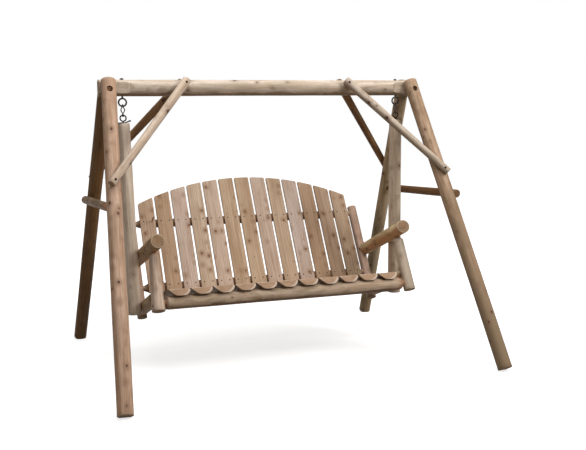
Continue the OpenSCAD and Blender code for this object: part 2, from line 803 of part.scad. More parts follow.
// One screw per slab into each of the two rails that it sits on
module slab_screws(gap = 0) {
    for (k = [0 : slab_n - 1], y = [front_rail_y, rear_rail_y])
        translate([slab_x(k), y, slab_under(y) + slab_t / cos(seat_rise)]) rotate([seat_rise, 0, 0])
            translate([0, 0, -2]) screw(seat_screw_l, slat_screw_d + 1, slat_head_d, slat_head_t, gap);
}

module seat_slabs() {
    color("wheat") in_bench() difference() {
        for (k = [0 : slab_n - 1]) slab(k);
        front_rail_log(saddle_gap);
        rear_rail_log(saddle_gap);
        slab_screws(bolt_gap);
    }
}

// Two screws per slat into each back rail
module slat_screw_set(k, gap = 0) {
    for (s = [lower_rail_s, upper_rail_s], dx = sides)
        translate([slat_x(k) + dx * slat_screw_x, -slat_back - slat_t + 0.5, s]) rotate([90, 0, 0])
            screw(slat_screw_l, slat_screw_d, slat_head_d, slat_head_t, gap);
}

module back_slat(k) {
    color(k % 3 == 0 ? "tan" : k % 3 == 1 ? "wheat" : "burlywood") on_back() difference() {
        translate([0, -slat_back, 0]) rotate([90, 0, 0]) linear_extrude(slat_t) intersection() {
            translate([slat_x(k) - slat_w / 2, slat_foot_s]) square([slat_w, slat_top]);
            translate([0, slat_top - arch_r]) circle(r = arch_r, $fn = 256);
        }
        slat_screw_set(k, bolt_gap);
    }
}

module back_screws() {
    color("dimgray") on_back() for (k = [0 : slat_n - 1]) slat_screw_set(k);
}

module seat_screws() {
    color("dimgray") in_bench() slab_screws();
}

module arm_screws() {
    color("dimgray") for (sx = sides) mirrored(sx) in_bench() arm_screw_pair();
}

// ---- nodes ----

top_beam();
color("tan") leg(-1, -1);  // leg_front_left
color("tan") leg(1, -1);  // leg_front_right
color("sienna") leg(-1, 1);  // leg_rear_left
color("sienna") leg(1, 1);  // leg_rear_right
stretcher(-1);  // stretcher_left
stretcher(1);  // stretcher_right
brace(-1, -1);  // brace_front_left
brace(1, -1);  // brace_front_right
brace(-1, 1);  // brace_rear_left
brace(1, 1);  // brace_rear_right
leg_bolts();
leg_nuts();
leg_washers();
stretcher_screws();
brace_screws();
beam_eye_bolts();
beam_eye_nuts();
beam_eye_washers();
link(-1);  // link_left
link(1);  // link_right
hanger(-1);  // hanger_left
hanger(1);  // hanger_right
hanger_eyes();
hanger_plates();
hanger_lags();
arm(-1);  // arm_left
arm(1);  // arm_right
arm_post(-1);  // arm_post_left
arm_post(1);  // arm_post_right
back_post(-1);  // back_post_left
back_post(1);  // back_post_right
side_rail(-1);  // side_rail_left
side_rail(1);  // side_rail_right
front_rail();
rear_rail();
back_rail(lower_rail_d, lower_rail_s);  // lower_back_rail
back_rail(upper_rail_d, upper_rail_s);  // upper_back_rail
seat_slabs();
back_slat(0);  // back_slat_01
back_slat(1);  // back_slat_02
back_slat(2);  // back_slat_03
back_slat(3);  // back_slat_04
back_slat(4);  // back_slat_05
back_slat(5);  // back_slat_06
back_slat(6);  // back_slat_07
back_slat(7);  // back_slat_08
back_slat(8);  // back_slat_09
back_slat(9);  // back_slat_10
back_slat(10);  // back_slat_11
back_slat(11);  // back_slat_12
back_slat(12);  // back_slat_13
back_screws();
seat_screws();
arm_screws();
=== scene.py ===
import json
from math import asin, atan, cos, hypot, pi, radians, sin, tan

import bpy
from mathutils import Matrix, Vector


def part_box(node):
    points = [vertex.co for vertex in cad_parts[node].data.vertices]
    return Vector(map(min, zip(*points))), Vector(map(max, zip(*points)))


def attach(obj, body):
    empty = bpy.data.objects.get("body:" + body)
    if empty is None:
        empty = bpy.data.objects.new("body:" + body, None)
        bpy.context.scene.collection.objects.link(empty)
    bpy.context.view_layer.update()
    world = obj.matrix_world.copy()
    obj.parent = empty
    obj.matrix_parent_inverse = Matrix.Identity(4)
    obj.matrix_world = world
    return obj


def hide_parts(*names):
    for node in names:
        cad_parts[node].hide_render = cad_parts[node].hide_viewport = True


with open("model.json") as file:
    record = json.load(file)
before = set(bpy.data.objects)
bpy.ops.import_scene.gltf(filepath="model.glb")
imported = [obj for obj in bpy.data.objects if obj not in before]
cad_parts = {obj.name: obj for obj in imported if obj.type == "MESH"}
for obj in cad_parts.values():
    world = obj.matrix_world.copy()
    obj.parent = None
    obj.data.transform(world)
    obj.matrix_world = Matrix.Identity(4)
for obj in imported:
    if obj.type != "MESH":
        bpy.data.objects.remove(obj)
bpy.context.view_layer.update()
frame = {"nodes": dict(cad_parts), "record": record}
print("frame loaded")


def moved(x, y, z):
    return Matrix.Translation((x, y, z))


def turned(angle, axis):
    return Matrix.Rotation(angle, 4, axis)


# Driving sizes in metres and degrees; heights come from the frame's own boxes
legSizes = {
    "lean": 28.7, "splay": 3.97, "span": 2.112, "radius": 0.0475, "lapY": 0.0375, "lap": 0.018,
    "rise": 0.042, "footLift": 0.015, "boltDrop": 0.011, "boltSeat": 0.012, "counterbore": 0.0185,
    "boltHole": 0.0062, "footShy": {-1: 0.0006, 1: 0.0012},
}
benchPlace = {"tilt": 18.0, "y": -0.364, "drop": 1.290, "sideX": 0.853, "sideDepth": 0.618}
postSizes = {
    "lean": 7.0, "foot": 0.096, "seat": 0.008, "tenonPast": 0.012, "tenon": 0.019, "hole": 0.042,
    "cone": 0.022, "neck": 0.006, "wander": 0.001, "radii": {-1: (0.0432, 0.0325), 1: (0.0400, 0.0378)},
}
backPostSizes = {"lean": 11.0, "radius": 0.034, "height": 0.675, "foot": 0.054}
frontRailSizes = {
    "radius": 0.043, "thick": 0.049, "drop": 0.046, "tenon": 0.022, "tenonLong": 0.034,
    "cone": 0.012, "coneThick": 0.078, "wander": 0.002,
}
rearRailSizes = {
    "radius": 0.033, "y": 0.535, "saddle": 0.008, "tenon": 0.019, "tenonLong": 0.030, "cone": 0.016,
}
slabSizes = {
    "count": 11, "width": 0.138, "thick": 0.048, "flat": 0.005, "pitch": 0.141, "shift": -0.020,
    "front": 0.055, "saddle": 0.012, "rise": 5.5, "tailShort": 0.030, "slices": 16,
}
scribeGap = 0.0002 # a scribed saddle clears its log by this
shoulderGap = 0.002 # a rail's shoulder stops this far from its post
recessFloor = 0.005 # a screw's recess goes this far below its head
recessTop = 0.08 # and its cutter stands this far above it
woodSmooth, linkSmooth = radians(38), radians(60) # edges sharper than these stay crisp

beamLow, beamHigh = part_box("top_beam")
beamH = (beamLow.z + beamHigh.z) / 2
beamR = (beamHigh.z - beamLow.z) / 2
beamL = beamHigh.x - beamLow.x
beamEnds = (Vector((-beamL / 2, 0, beamH)), Vector((beamL / 2, 0, beamH)))
legX = legSizes["span"] / 2
legTanX = tan(radians(legSizes["splay"]))
legTanY = tan(radians(legSizes["lean"]))
legCos = cos(radians(legSizes["lean"]))
legY = legSizes["lapY"] + (legSizes["radius"] - legSizes["lap"]) / legCos
sideX = benchPlace["sideX"]
sideDepth = benchPlace["sideDepth"]
benchZ = beamH - benchPlace["drop"]
tiltRad = radians(benchPlace["tilt"])
inBench = moved(0, benchPlace["y"], benchZ) @ turned(-tiltRad, "X")
backRad = radians(backPostSizes["lean"])
backTan = tan(backRad)
onBack = inBench @ moved(0, sideDepth, 0) @ turned(-backRad, "X")
postRad = radians(postSizes["lean"])
postTan = tan(postRad)
frontRailY = -frontRailSizes["drop"] * postTan
slabStartY = frontRailY - slabSizes["front"]
slabTailY = sideDepth - slabSizes["tailShort"]
slabRise = radians(slabSizes["rise"])


def legPoint(sx, sy, z):
    return Vector((sx * (legX + (beamH - z) * legTanX), sy * (legY + (beamH - z) * legTanY), z))


def benchPoint(x, y, z):
    return inBench @ Vector((x, y, z))


def backPoint(x, s, y=0.0):
    return onBack @ Vector((x, y, s))


# Height of a slab's underside in the bench's frame
def slabUnder(y):
    low = frontRailSizes["radius"] - frontRailSizes["drop"] - slabSizes["saddle"]
    return low + (y - slabStartY - slabSizes["front"]) * tan(slabRise)


rearRailZ = slabUnder(rearRailSizes["y"]) + rearRailSizes["saddle"] - rearRailSizes["radius"]


# Matrix that lays +Z of a new log along a to b, with its foot at a
def layAlong(a, b):
    turn = (Vector(b) - Vector(a)).to_track_quat("Z", "Y").to_matrix().to_4x4()
    return Matrix.Translation(Vector(a)) @ turn


# The node helpers below work in nodeTree, the tree that was started last
nodeTree = None
colourNames = ("Color", "Pale", "Deep", "Shade", "Warm", "Heart", "Rim", "Knot", "Tip", "Bark")
vectorNames = ("Vector", "Squash")


def rgba(colour):
    return (*colour, 1.0)


# Links or sets each named input
def feed(inputs, values):
    for key, value in values.items():
        if isinstance(value, bpy.types.NodeSocket):
            nodeTree.links.new(value, inputs[key])
        else:
            inputs[key].default_value = value


def addNode(kind, inputs=None, **settings):
    made = nodeTree.nodes.new("ShaderNode" + kind)
    for key, value in settings.items():
        setattr(made, key, value)
    feed(made.inputs, inputs or {})
    return made


# Starts a node group, and gives back the sockets inside it
def startGroup(name, inputs, outputs="Color Roughness Height"):
    global nodeTree
    nodeTree = bpy.data.node_groups.new(name, "ShaderNodeTree")
    for way, labels in (("INPUT", inputs), ("OUTPUT", outputs)):
        for label in labels.split():
            kind = "Color" if label in colourNames else "Vector" if label in vectorNames else "Float"
            nodeTree.interface.new_socket(label, in_out=way, socket_type="NodeSocket" + kind)
    given = nodeTree.nodes.new("NodeGroupInput").outputs
    return given, nodeTree.nodes.new("NodeGroupOutput").inputs


def startMaterial(name):
    global nodeTree
    material = bpy.data.materials.new(name)
    material.use_nodes = True
    nodeTree = material.node_tree
    return material, nodeTree.nodes["Principled BSDF"].inputs


def maths(operation, a, b=0.0):
    return addNode("Math", {0: a, 1: b}, operation=operation).outputs[0]


def times(a, b):
    return maths("MULTIPLY", a, b)


def plus(a, b):
    return maths("ADD", a, b)


def minus(a, b):
    return maths("SUBTRACT", a, b)


def over(a, b):
    return maths("DIVIDE", a, b)


def vectors(operation, a, b):
    return addNode("VectorMath", {0: a, 1: b}, operation=operation).outputs[0]


def noise(vector, scale, detail=3.0, rough=0.55, twist=0.0):
    values = {"Vector": vector, "Scale": scale, "Detail": detail, "Roughness": rough, "Distortion": twist}
    return addNode("TexNoise", values).outputs["Fac"]


# Noise with one scale across the grain and another along it
def grainNoise(vector, across, along, *more):
    return noise(vectors("MULTIPLY", vector, (across, across, along)), 1.0, *more)


def ramp(value, low, high, toLow=0.0, toHigh=1.0):
    values = {"Value": value, "From Min": low, "From Max": high, "To Min": toLow, "To Max": toHigh}
    return addNode("MapRange", values, interpolation_type="SMOOTHSTEP").outputs[0]


def blend(factor, a, b, how="MIX"):
    return addNode("Mix", {0: factor, 6: a, 7: b}, data_type="RGBA", blend_type=how).outputs[2]


# Lays paints over a colour, each by its own factor
def painted(colour, *layers):
    for factor, paint, *how in layers:
        colour = blend(factor, colour, paint, *how)
    return colour


def awayFrom(x, y):
    return maths("SQRT", plus(times(x, x), times(y, y)))


# Height made of layers, each with its own strength
def stacked(first, *others):
    total = times(*first)
    for layer in others:
        total = plus(total, times(*layer))
    return total


grainStep = 10.0 # each piece's grain starts this much further along, so that no two are alike


# Scattered knots: Core is the dark heart and Halo the swirl of grain round it; a higher Share leaves fewer
def buildKnots():
    given, out = startGroup("knots", "Vector Squash Cells Share Size", "Core Halo")
    wobble = addNode("TexNoise", {"Vector": given["Vector"], "Scale": 45.0, "Detail": 2.0}).outputs["Color"]
    shift = vectors("MULTIPLY", vectors("SUBTRACT", wobble, (0.5, 0.5, 0.5)), (0.006, 0.006, 0.006))
    squashed = vectors("MULTIPLY", vectors("ADD", given["Vector"], shift), given["Squash"])
    cells = addNode("TexVoronoi", {"Vector": squashed, "Scale": given["Cells"]}).outputs
    random = addNode("SeparateColor", {0: cells["Color"]}).outputs
    present = ramp(minus(random[0], given["Share"]), -0.01, 0.01)
    reach = over(cells["Distance"], times(given["Size"], ramp(random[1], 0.0, 1.0, 0.45, 1.25)))
    feed(out, {"Core": times(ramp(reach, 1.1, 0.55), present), "Halo": times(ramp(reach, 3.4, 0.7), present)})
    return nodeTree


knotGroup = buildKnots()


def joinKnots(given):
    labels = ("Vector", "Squash", "Cells", "Share", "Size")
    knot = addNode("Group", node_tree=knotGroup)
    feed(knot.inputs, {label: given[label] for label in labels})
    return knot.outputs["Core"], knot.outputs["Halo"]


# What a grain vector says: its parts, the piece's own random values, and the place along the piece
def pieceTones(vector):
    parts = addNode("SeparateXYZ", {0: vector}).outputs
    number = maths("FLOOR", over(plus(parts[2], 1.0), grainStep))
    random = addNode("TexWhiteNoise", {"W": number}, noise_dimensions="1D")
    tones = addNode("SeparateColor", {0: random.outputs["Color"]}).outputs
    return parts, tones, minus(parts[2], times(number, grainStep))


# Peeled log: long streaks, soft olive patches, fine fibres, knots, painted shade along the underside and a
# brown whittled tip
def buildPeeled():
    given, out = startGroup("peeledWood", "Vector Whittle Under Pale Deep Shade Knot Tip Bark Belly "
                                  "BellyFrom Patches Foot Squash Cells Share Size")
    vector, pale, deep, shade, dark = (given[label] for label in ("Vector", "Pale", "Deep", "Shade", "Knot"))
    core, halo = joinKnots(given)
    along = pieceTones(vector)[2]
    streak = grainNoise(vector, 46, 2.4, 5.0, 0.62, 0.6)
    broad = grainNoise(vector, 13, 1.3, 2.0)
    patch = grainNoise(vector, 11, 4.5, 4.0, 0.6, 0.5)
    fibre = grainNoise(vector, 230, 9, 3.0, 0.6)
    fleck = grainNoise(vector, 70, 22, 3.0, 0.7)
    tool = grainNoise(vector, 30, 9, 2.0, 0.5)
    # Painted shade: a ragged darker strip along the underside, where shade falls under the log
    under = plus(given["Under"], ramp(patch, 0.3, 0.7, -0.2, 0.2))
    under = ramp(minus(under, given["BellyFrom"]), 0.0, 0.28)
    whittle = plus(given["Whittle"], ramp(streak, 0.3, 0.7, -0.25, 0.25))
    colour = painted(
        pale,
        (ramp(streak, 0.38, 0.66), deep),
        (ramp(broad, 0.44, 0.64, 0.0, 0.6), deep),
        (times(ramp(patch, 0.46, 0.62), given["Patches"]), shade),
        (ramp(fibre, 0.35, 0.75, 0.0, 0.35), shade, "MULTIPLY"),
        (ramp(fleck, 0.58, 0.74, 0.0, 0.5), shade),
        (times(ramp(along, 1.3, 0.0), given["Foot"]), shade),
        (times(under, given["Belly"]), given["Bark"]),
        (ramp(whittle, 0.1, 0.95), given["Tip"]),
        (times(halo, 0.5), deep),
        (times(halo, 0.3), dark),
        (times(core, 0.94), dark),
    )
    height = stacked((fibre, 0.22), (streak, 0.5), (tool, 0.8), (halo, 0.9), (core, -0.6))
    feed(out, {"Color": colour, "Roughness": ramp(streak, 0.2, 0.8, 0.58, 0.78), "Height": height})
    return nodeTree


# Sawn board: growth rings cut flat, each board with its own tone
def buildSawn():
    given, out = startGroup("sawnWood", "Vector Pale Deep Warm Knot Ring Squash Cells Share Size")
    vector, deep, dark = (given[label] for label in ("Vector", "Deep", "Knot"))
    core, halo = joinKnots(given)
    parts, tones, _ = pieceTones(vector)
    sway = times(minus(grainNoise(vector, 7, 1.6, 2.0), 0.5), 0.05)
    pith = times(minus(tones[1], 0.5), 0.09)
    across = plus(plus(parts[0], sway), plus(times(halo, 0.010), pith))
    depth = plus(plus(parts[1], times(tones[2], 0.03)), 0.02)
    rings = maths("FRACT", over(awayFrom(across, depth), given["Ring"]))
    late = times(ramp(rings, 0.30, 0.85), ramp(rings, 1.0, 0.9))
    fibre = grainNoise(vector, 330, 8, 3.0, 0.6)
    streak = grainNoise(vector, 90, 2.5, 3.0, 0.6)
    cloud = grainNoise(vector, 14, 2.5, 3.0)
    colour = painted(
        given["Pale"],
        (ramp(tones[0], 0.35, 0.65), given["Warm"]),
        (times(late, 0.40), deep),
        (ramp(streak, 0.48, 0.68, 0.0, 0.45), deep),
        (ramp(cloud, 0.40, 0.68, 0.0, 0.45), deep),
        (ramp(fibre, 0.35, 0.8, 0.0, 0.30), deep, "MULTIPLY"),
        (times(halo, 0.55), deep),
        (times(halo, 0.18), dark),
        (times(core, 0.9), dark),
    )
    height = stacked((fibre, 0.4), (late, -0.25), (core, 0.4))
    feed(out, {"Color": colour, "Roughness": ramp(fibre, 0.2, 0.8, 0.55, 0.72), "Height": height})
    return nodeTree


# Cut end of a log: growth rings, drying cracks and a rim; Girth is 0 at the pith and 1 at the skin
def buildEndGrain():
    given, out = startGroup("endGrain", "Vector Girth Pale Deep Heart Rim Ring RimFrom")
    vector, girth, deep = (given[label] for label in ("Vector", "Girth", "Deep"))
    x, y, z = addNode("SeparateXYZ", {0: vector}).outputs
    sway = times(noise(vector, 30.0, 2.0), 0.008)
    radius = awayFrom(x, y)
    late = ramp(maths("FRACT", over(plus(radius, sway), given["Ring"])), 0.45, 0.95)
    spoke = addNode("CombineXYZ", {0: times(maths("ARCTAN2", y, x), 2.2), 1: times(radius, 6.0), 2: z})
    crack = ramp(noise(spoke.outputs[0], 1.6, 2.0), 0.30, 0.24)
    grit = noise(vector, 420.0, 2.0)
    heart = ramp(plus(girth, times(sway, 20.0)), 0.85, 0.45)
    colour = painted(
        given["Pale"],
        (times(late, 0.7), deep),
        (times(heart, 0.55), given["Heart"]),
        (ramp(noise(vector, 24.0, 2.0), 0.4, 0.7, 0.0, 0.4), deep),
        (ramp(minus(girth, given["RimFrom"]), 0.0, 0.05, 0.0, 0.85), given["Rim"]),
        (times(crack, 0.85), (0.03, 0.018, 0.01, 1.0)),
    )
    height = stacked((late, 0.35), (grit, 0.35), (crack, -1.0))
    feed(out, {"Color": colour, "Roughness": ramp(grit, 0.2, 0.8, 0.75, 0.9), "Height": height})
    return nodeTree


# A material that reads the piece's own grain directions: across, across, along
def woodMaterial(name, group, look, bump, distance):
    material, shader = startMaterial(name)
    wood = addNode("Group", node_tree=group)
    for label in ("Vector", "Girth", "Whittle", "Under"):
        if label in wood.inputs:
            name, output = ("grain", "Vector") if label == "Vector" else (label.lower(), "Fac")
            feed(wood.inputs, {label: addNode("Attribute", attribute_name=name).outputs[output]})
    for label, value in look.items():
        feed(wood.inputs, {label: rgba(value) if label in colourNames else value})
    skin = addNode("Bump", {"Strength": bump, "Distance": distance, "Height": wood.outputs["Height"]})
    feed(shader, {"Base Color": wood.outputs["Color"], "Roughness": wood.outputs["Roughness"],
                  "Normal": skin.outputs[0], "Specular IOR Level": 0.28})
    return material


# The same look darker or warmer: every colour but the knots is multiplied by tone
def toned(look, tone, **changes):
    made = {}
    for label, value in look.items():
        stays = label in ("Knot", "Squash") or not isinstance(value, tuple)
        made[label] = value if stays else tuple(a * b for a, b in zip(value, tone))
    return {**made, **changes}


# Belly, BellyFrom and the underside colour set the painted shade along each log's underside
peeledLook = {
    "Pale": (0.60, 0.475, 0.385), "Deep": (0.44, 0.315, 0.225), "Shade": (0.29, 0.225, 0.155),
    "Knot": (0.070, 0.030, 0.016), "Tip": (0.34, 0.18, 0.09), "Bark": (0.20, 0.125, 0.075),
    "Belly": 0.7, "BellyFrom": 0.55, "Patches": 0.5, "Foot": 0.0,
    "Squash": (1.0, 1.0, 0.8), "Cells": 17.0, "Share": 0.25, "Size": 0.17,
}
# Knots darkened as painted shade, for the pieces that are painted as lying in shade
shadedKnot = (0.03, 0.014, 0.008)
# Rows that set Belly, BellyFrom or the underside colour change that painted underside shade
logTones = {
    "beam": {"tone": (1.06, 1.14, 1.18), "Patches": 0.3},
    "legLeft": {"tone": (0.93, 0.80, 0.71), "Patches": 0.3, "Share": 0.35, "Size": 0.15},
    "legRight": {"tone": (0.75, 0.66, 0.55), "Patches": 0.7, "Foot": 1.1, "BellyFrom": -0.02, "Belly": 0.85,
                 "Bark": (0.22, 0.155, 0.10), "Size": 0.15},
    # Painted shade: the rear left leg is a darkened copy for the shade it stands in
    "legRearLeft": {"tone": (0.33, 0.22, 0.10), "Knot": shadedKnot},
    "legRearRight": {"tone": (0.86, 0.85, 0.70), "Knot": (0.04, 0.018, 0.010)},
    "braceLeft": {"tone": (1.08, 1.12, 1.13), "Patches": 0.15},
    "braceRight": {"tone": (0.90, 0.95, 0.96), "Patches": 0.25},
    # Painted shade: the rear braces are darkened copies for the shade they stand in
    "braceRear": {"tone": (0.50, 0.34, 0.19), "Knot": shadedKnot},
    "stretcher": {"tone": (0.58, 0.52, 0.42), "Patches": 1.0, "Tip": (0.48, 0.20, 0.09)},
    # Painted shade: the right stretcher is a darkened copy for the shade it stands in
    "stretcherDark": {"tone": (0.37, 0.235, 0.115), "Knot": shadedKnot},
    "hangerLeft": {"tone": (1.34, 1.42, 1.44), "Patches": 0.1, "Knot": (0.15, 0.08, 0.045), "Share": 0.85,
                   "Deep": (0.50, 0.40, 0.31)},
    "hangerRight": {"tone": (1.15, 1.21, 1.20), "Patches": 0.45},
    "postLeft": {"tone": (1.09, 1.08, 1.09), "Patches": 0.25},
    "postRight": {"tone": (1.09, 1.19, 1.22), "Patches": 0.25},
    "backPost": {"tone": (0.92, 0.82, 0.80), "Knot": (0.09, 0.025, 0.02)},
    "armLeft": {"tone": (0.72, 0.60, 0.38), "Patches": 0.8, "Bark": (0.34, 0.20, 0.10), "BellyFrom": 0.2},
    "armRight": {"tone": (1.14, 1.12, 0.84), "Bark": (0.46, 0.25, 0.12), "Belly": 0.85, "BellyFrom": 0.0},
    "sideRail": {"tone": (0.74, 0.60, 0.40), "Patches": 0.8, "Belly": 0.2},
    "frontRail": {"tone": (0.93, 0.90, 0.83), "Patches": 0.8, "Knot": (0.10, 0.040, 0.022), "Belly": 0.95,
                  "BellyFrom": 0.30, "Bark": (0.16, 0.092, 0.055), "Tip": (0.29, 0.155, 0.085)},
    "backRail": {"tone": (0.62, 0.48, 0.38), "Patches": 0.4, "Tip": (0.34, 0.24, 0.155)},
}
sideTones = {"slabSide": {"tone": (0.70, 0.64, 0.56)}}
endLook = {
    "Pale": (0.44, 0.31, 0.205), "Deep": (0.26, 0.165, 0.10), "Heart": (0.34, 0.19, 0.105),
    "Rim": (0.40, 0.28, 0.19), "Ring": 0.0052, "RimFrom": 0.90,
}
endTones = {
    "end": {"tone": (1.0, 1.0, 1.0)},
    "armEnd": {"tone": (0.78, 0.74, 0.66), "Deep": (0.085, 0.055, 0.035), "Rim": (0.52, 0.39, 0.27),
               "RimFrom": 0.87, "Ring": 0.0125},
    # Painted shade: a darkened end grain for the rear pieces and the stretchers
    "shadedEnd": {"tone": (0.45, 0.38, 0.30)},
    "slabEnd": {"tone": (1.20, 1.14, 1.14), "Rim": (0.72, 0.58, 0.47), "Heart": (0.46, 0.29, 0.17)},
}
boardLook = {
    "Pale": (0.58, 0.45, 0.37), "Deep": (0.31, 0.185, 0.105), "Warm": (0.54, 0.40, 0.30),
    "Knot": (0.150, 0.066, 0.030), "Ring": 0.0105, "Squash": (1.0, 0.15, 0.85), "Cells": 17.0, "Share": 0.42,
    "Size": 0.14,
}
boardTones = {
    "slatPink": {"tone": (0.96, 0.99, 1.03), "Share": 0.32},
    "slatTan": {"tone": (0.87, 0.85, 0.76), "Share": 0.38},
    "slatBrown": {"tone": (0.78, 0.71, 0.60), "Share": 0.35},
    "slab": {"tone": (1.02, 1.03, 1.0)},
}
planedTones = {"planed": {"tone": (0.72, 0.78, 0.82), "Share": 0.6}}

peeledGroup = buildPeeled()
sawnGroup = buildSawn()
endGroup = buildEndGrain()
woods = {}
for group, suffix, look, tones, bump, distance in (
        (peeledGroup, "Cedar", peeledLook, logTones, 0.38, 0.0012),
        (endGroup, "Grain", endLook, endTones, 0.5, 0.0010),
        (sawnGroup, "Cedar", boardLook, planedTones, 0.5, 0.0012),
        (sawnGroup, "Cedar", boardLook, boardTones, 0.25, 0.0006),
        (peeledGroup, "Cedar", peeledLook, sideTones, 0.3, 0.001)):
    for name, row in tones.items():
        woods[name] = woodMaterial(name + suffix, group, toned(look, **row), bump, distance)
print("wood ready")


# Steel with a mottled, weathered skin
def steelMaterial(name, colour, rust, metallic, rough, rusting=0.52):
    material, shader = startMaterial(name)
    place = addNode("TexCoord").outputs["Object"]
    mottle = noise(place, 160.0, 4.0, 0.65)
    spots = ramp(noise(place, 70.0, 3.0), rusting, rusting + 0.16)
    skin = addNode("Bump", {"Strength": 0.25, "Distance": 0.0004, "Height": mottle})
    feed(shader, {"Base Color": blend(spots, rgba(colour), rgba(rust)), "Metallic": metallic,
                  "Roughness": ramp(mottle, 0.3, 0.7, rough - 0.12, rough + 0.15), "Normal": skin.outputs[0]})
    return material


steels = {
    "dark_steel": steelMaterial("darkSteel", (0.022, 0.016, 0.013), (0.075, 0.036, 0.020), 0.15, 0.42),
    "zinc_steel": steelMaterial("dullZinc", (0.16, 0.145, 0.125), (0.10, 0.065, 0.040), 0.7, 0.45),
    "black_steel": steelMaterial("blackPaint", (0.006, 0.006, 0.006), (0.012, 0.009, 0.008), 0.0, 0.55),
    "screw_steel": steelMaterial("screwSteel", (0.045, 0.034, 0.027), (0.040, 0.022, 0.014), 0.5, 0.5),
}
# The bolts in their counterbores have rusted brown, painted far paler than rust as painted light for their
# shaded recess
rustedBolts = steelMaterial("rustedBolts", (0.95, 0.58, 0.36), (0.80, 0.44, 0.24), 0.0, 0.6, 0.45)
rustAndLightNodes = ("leg_bolts", "leg_nuts", "leg_washers")
print("steel ready")


def deselect():
    bpy.ops.object.select_all(action="DESELECT")


def makeActive(piece):
    deselect()
    piece.select_set(True)
    bpy.context.view_layer.objects.active = piece


def applyAll(piece):
    makeActive(piece)
    bpy.ops.object.transform_apply(location=True, rotation=True, scale=True)


def placeMesh(piece, matrix):
    piece.matrix_world = matrix
    applyAll(piece)


meshParts = ("vertices", "edges", "polygons") # in the order of the select modes


def edit(piece, kind):
    makeActive(piece)
    bpy.context.tool_settings.mesh_select_mode = [name == kind for name in meshParts]
    bpy.ops.object.mode_set(mode="EDIT")


def leaveEdit():
    bpy.ops.object.mode_set(mode="OBJECT")


# Opens a piece for editing, with only those parts of one kind selected that pass the test
def editParts(piece, kind, test):
    for name in meshParts:
        for part in getattr(piece.data, name):
            part.select = name == kind and test(part)
    edit(piece, kind)


# How far an edge runs along one axis
def edgeRun(mesh, edge, axis):
    first, last = edge.vertices
    return abs(mesh.vertices[first].co[axis] - mesh.vertices[last].co[axis])


# Cuts the whole piece by a plane, keeping both halves or only the inner one
def slicePiece(piece, point, normal, keepBoth=False):
    edit(piece, "polygons")
    bpy.ops.mesh.select_all(action="SELECT")
    bpy.ops.mesh.bisect(plane_co=point, plane_no=normal, use_fill=not keepBoth, clear_outer=not keepBoth)
    leaveEdit()


def sliceEvenly(piece, length, count):
    for cut in range(1, count):
        slicePiece(piece, (0, 0, length * cut / count), (0, 0, 1), keepBoth=True)


def cloudTexture(name, size, depth, kind):
    texture = bpy.data.textures.new(name, "CLOUDS")
    texture.noise_scale = size
    texture.noise_depth = depth
    texture.cloud_type = kind
    return texture


lumpTexture = cloudTexture("lumps", 0.075, 1, "GRAYSCALE")
wanderTexture = cloudTexture("wander", 0.9, 0, "COLOR")


# Gives a piece a modifier with these settings and applies it
def modify(piece, kind, **settings):
    makeActive(piece)
    modifier = piece.modifiers.new(kind.lower(), kind)
    for key, value in settings.items():
        setattr(modifier, key, value)
    bpy.ops.object.modifier_apply(modifier=modifier.name)


# Displaces a piece from another part of the texture, so that no two pieces are alike
def roughen(piece, texture, strength, shift, direction="NORMAL"):
    placeMesh(piece, moved(*shift))
    modify(piece, "DISPLACE", texture=texture, texture_coords="LOCAL", strength=strength, mid_level=0.5,
           direction=direction)
    placeMesh(piece, moved(*-Vector(shift)))


def easeEdges(piece, width):
    modify(piece, "BEVEL", width=width, segments=3, limit_method="ANGLE", angle_limit=radians(35))


def cutWith(piece, cutters):
    for cutter in cutters:
        modify(piece, "BOOLEAN", operation="DIFFERENCE", solver="EXACT", object=cutter)
        bpy.data.objects.remove(cutter)


def addObject(name, data):
    made = bpy.data.objects.new(name, data)
    bpy.context.collection.objects.link(made)
    return made


# Adds a primitive with its own placing applied, and then moves it by the matrix
def addPiece(kind, matrix=None, **settings):
    deselect()
    getattr(bpy.ops.mesh, "primitive_%s_add" % kind)(**settings)
    piece = bpy.context.object
    applyAll(piece)
    if matrix is not None:
        placeMesh(piece, matrix)
    return piece


def roundCutter(matrix, radius, low, high, sides=48):
    return addPiece("cylinder", matrix, vertices=sides, radius=radius, depth=high - low,
                    location=(0, 0, (low + high) / 2))


# Cutter for a saddle that is scribed to a round log from a to b
def scribeCutter(a, b, radius, sides=48):
    return roundCutter(layAlong(a, b), radius + scribeGap, 0, (b - a).length, sides)


# Box between two corners; the corners may be given in any order
def addBox(a, b, matrix=None):
    return addPiece("cube", matrix, size=1, location=[(p + q) / 2 for p, q in zip(a, b)],
                    scale=[abs(q - p) for p, q in zip(a, b)])


# Recess over a sunk screw head: its floor lies deep below the point, +Z points outwards
def screwRecess(matrix, radius, deep=recessFloor):
    return roundCutter(matrix, radius, -deep, recessTop, 24)


logShape = {
    "sides": 56, "ring": 0.026, "squeeze": 5.0, "lumps": 0.0022, "rim": 0.0045, "wander": 0.003,
    "endZone": 0.02, "blunt": ((0.30, 0.97), (0.60, 0.90), (0.85, 0.76)), "insets": (0.08, 0.25, 0.25),
}


def coneFrom(size):
    return size["cone"], size["tenon"], size["tenonLong"]


def coneLength(cone):
    return cone[0] + cone[2] if cone else 0.0


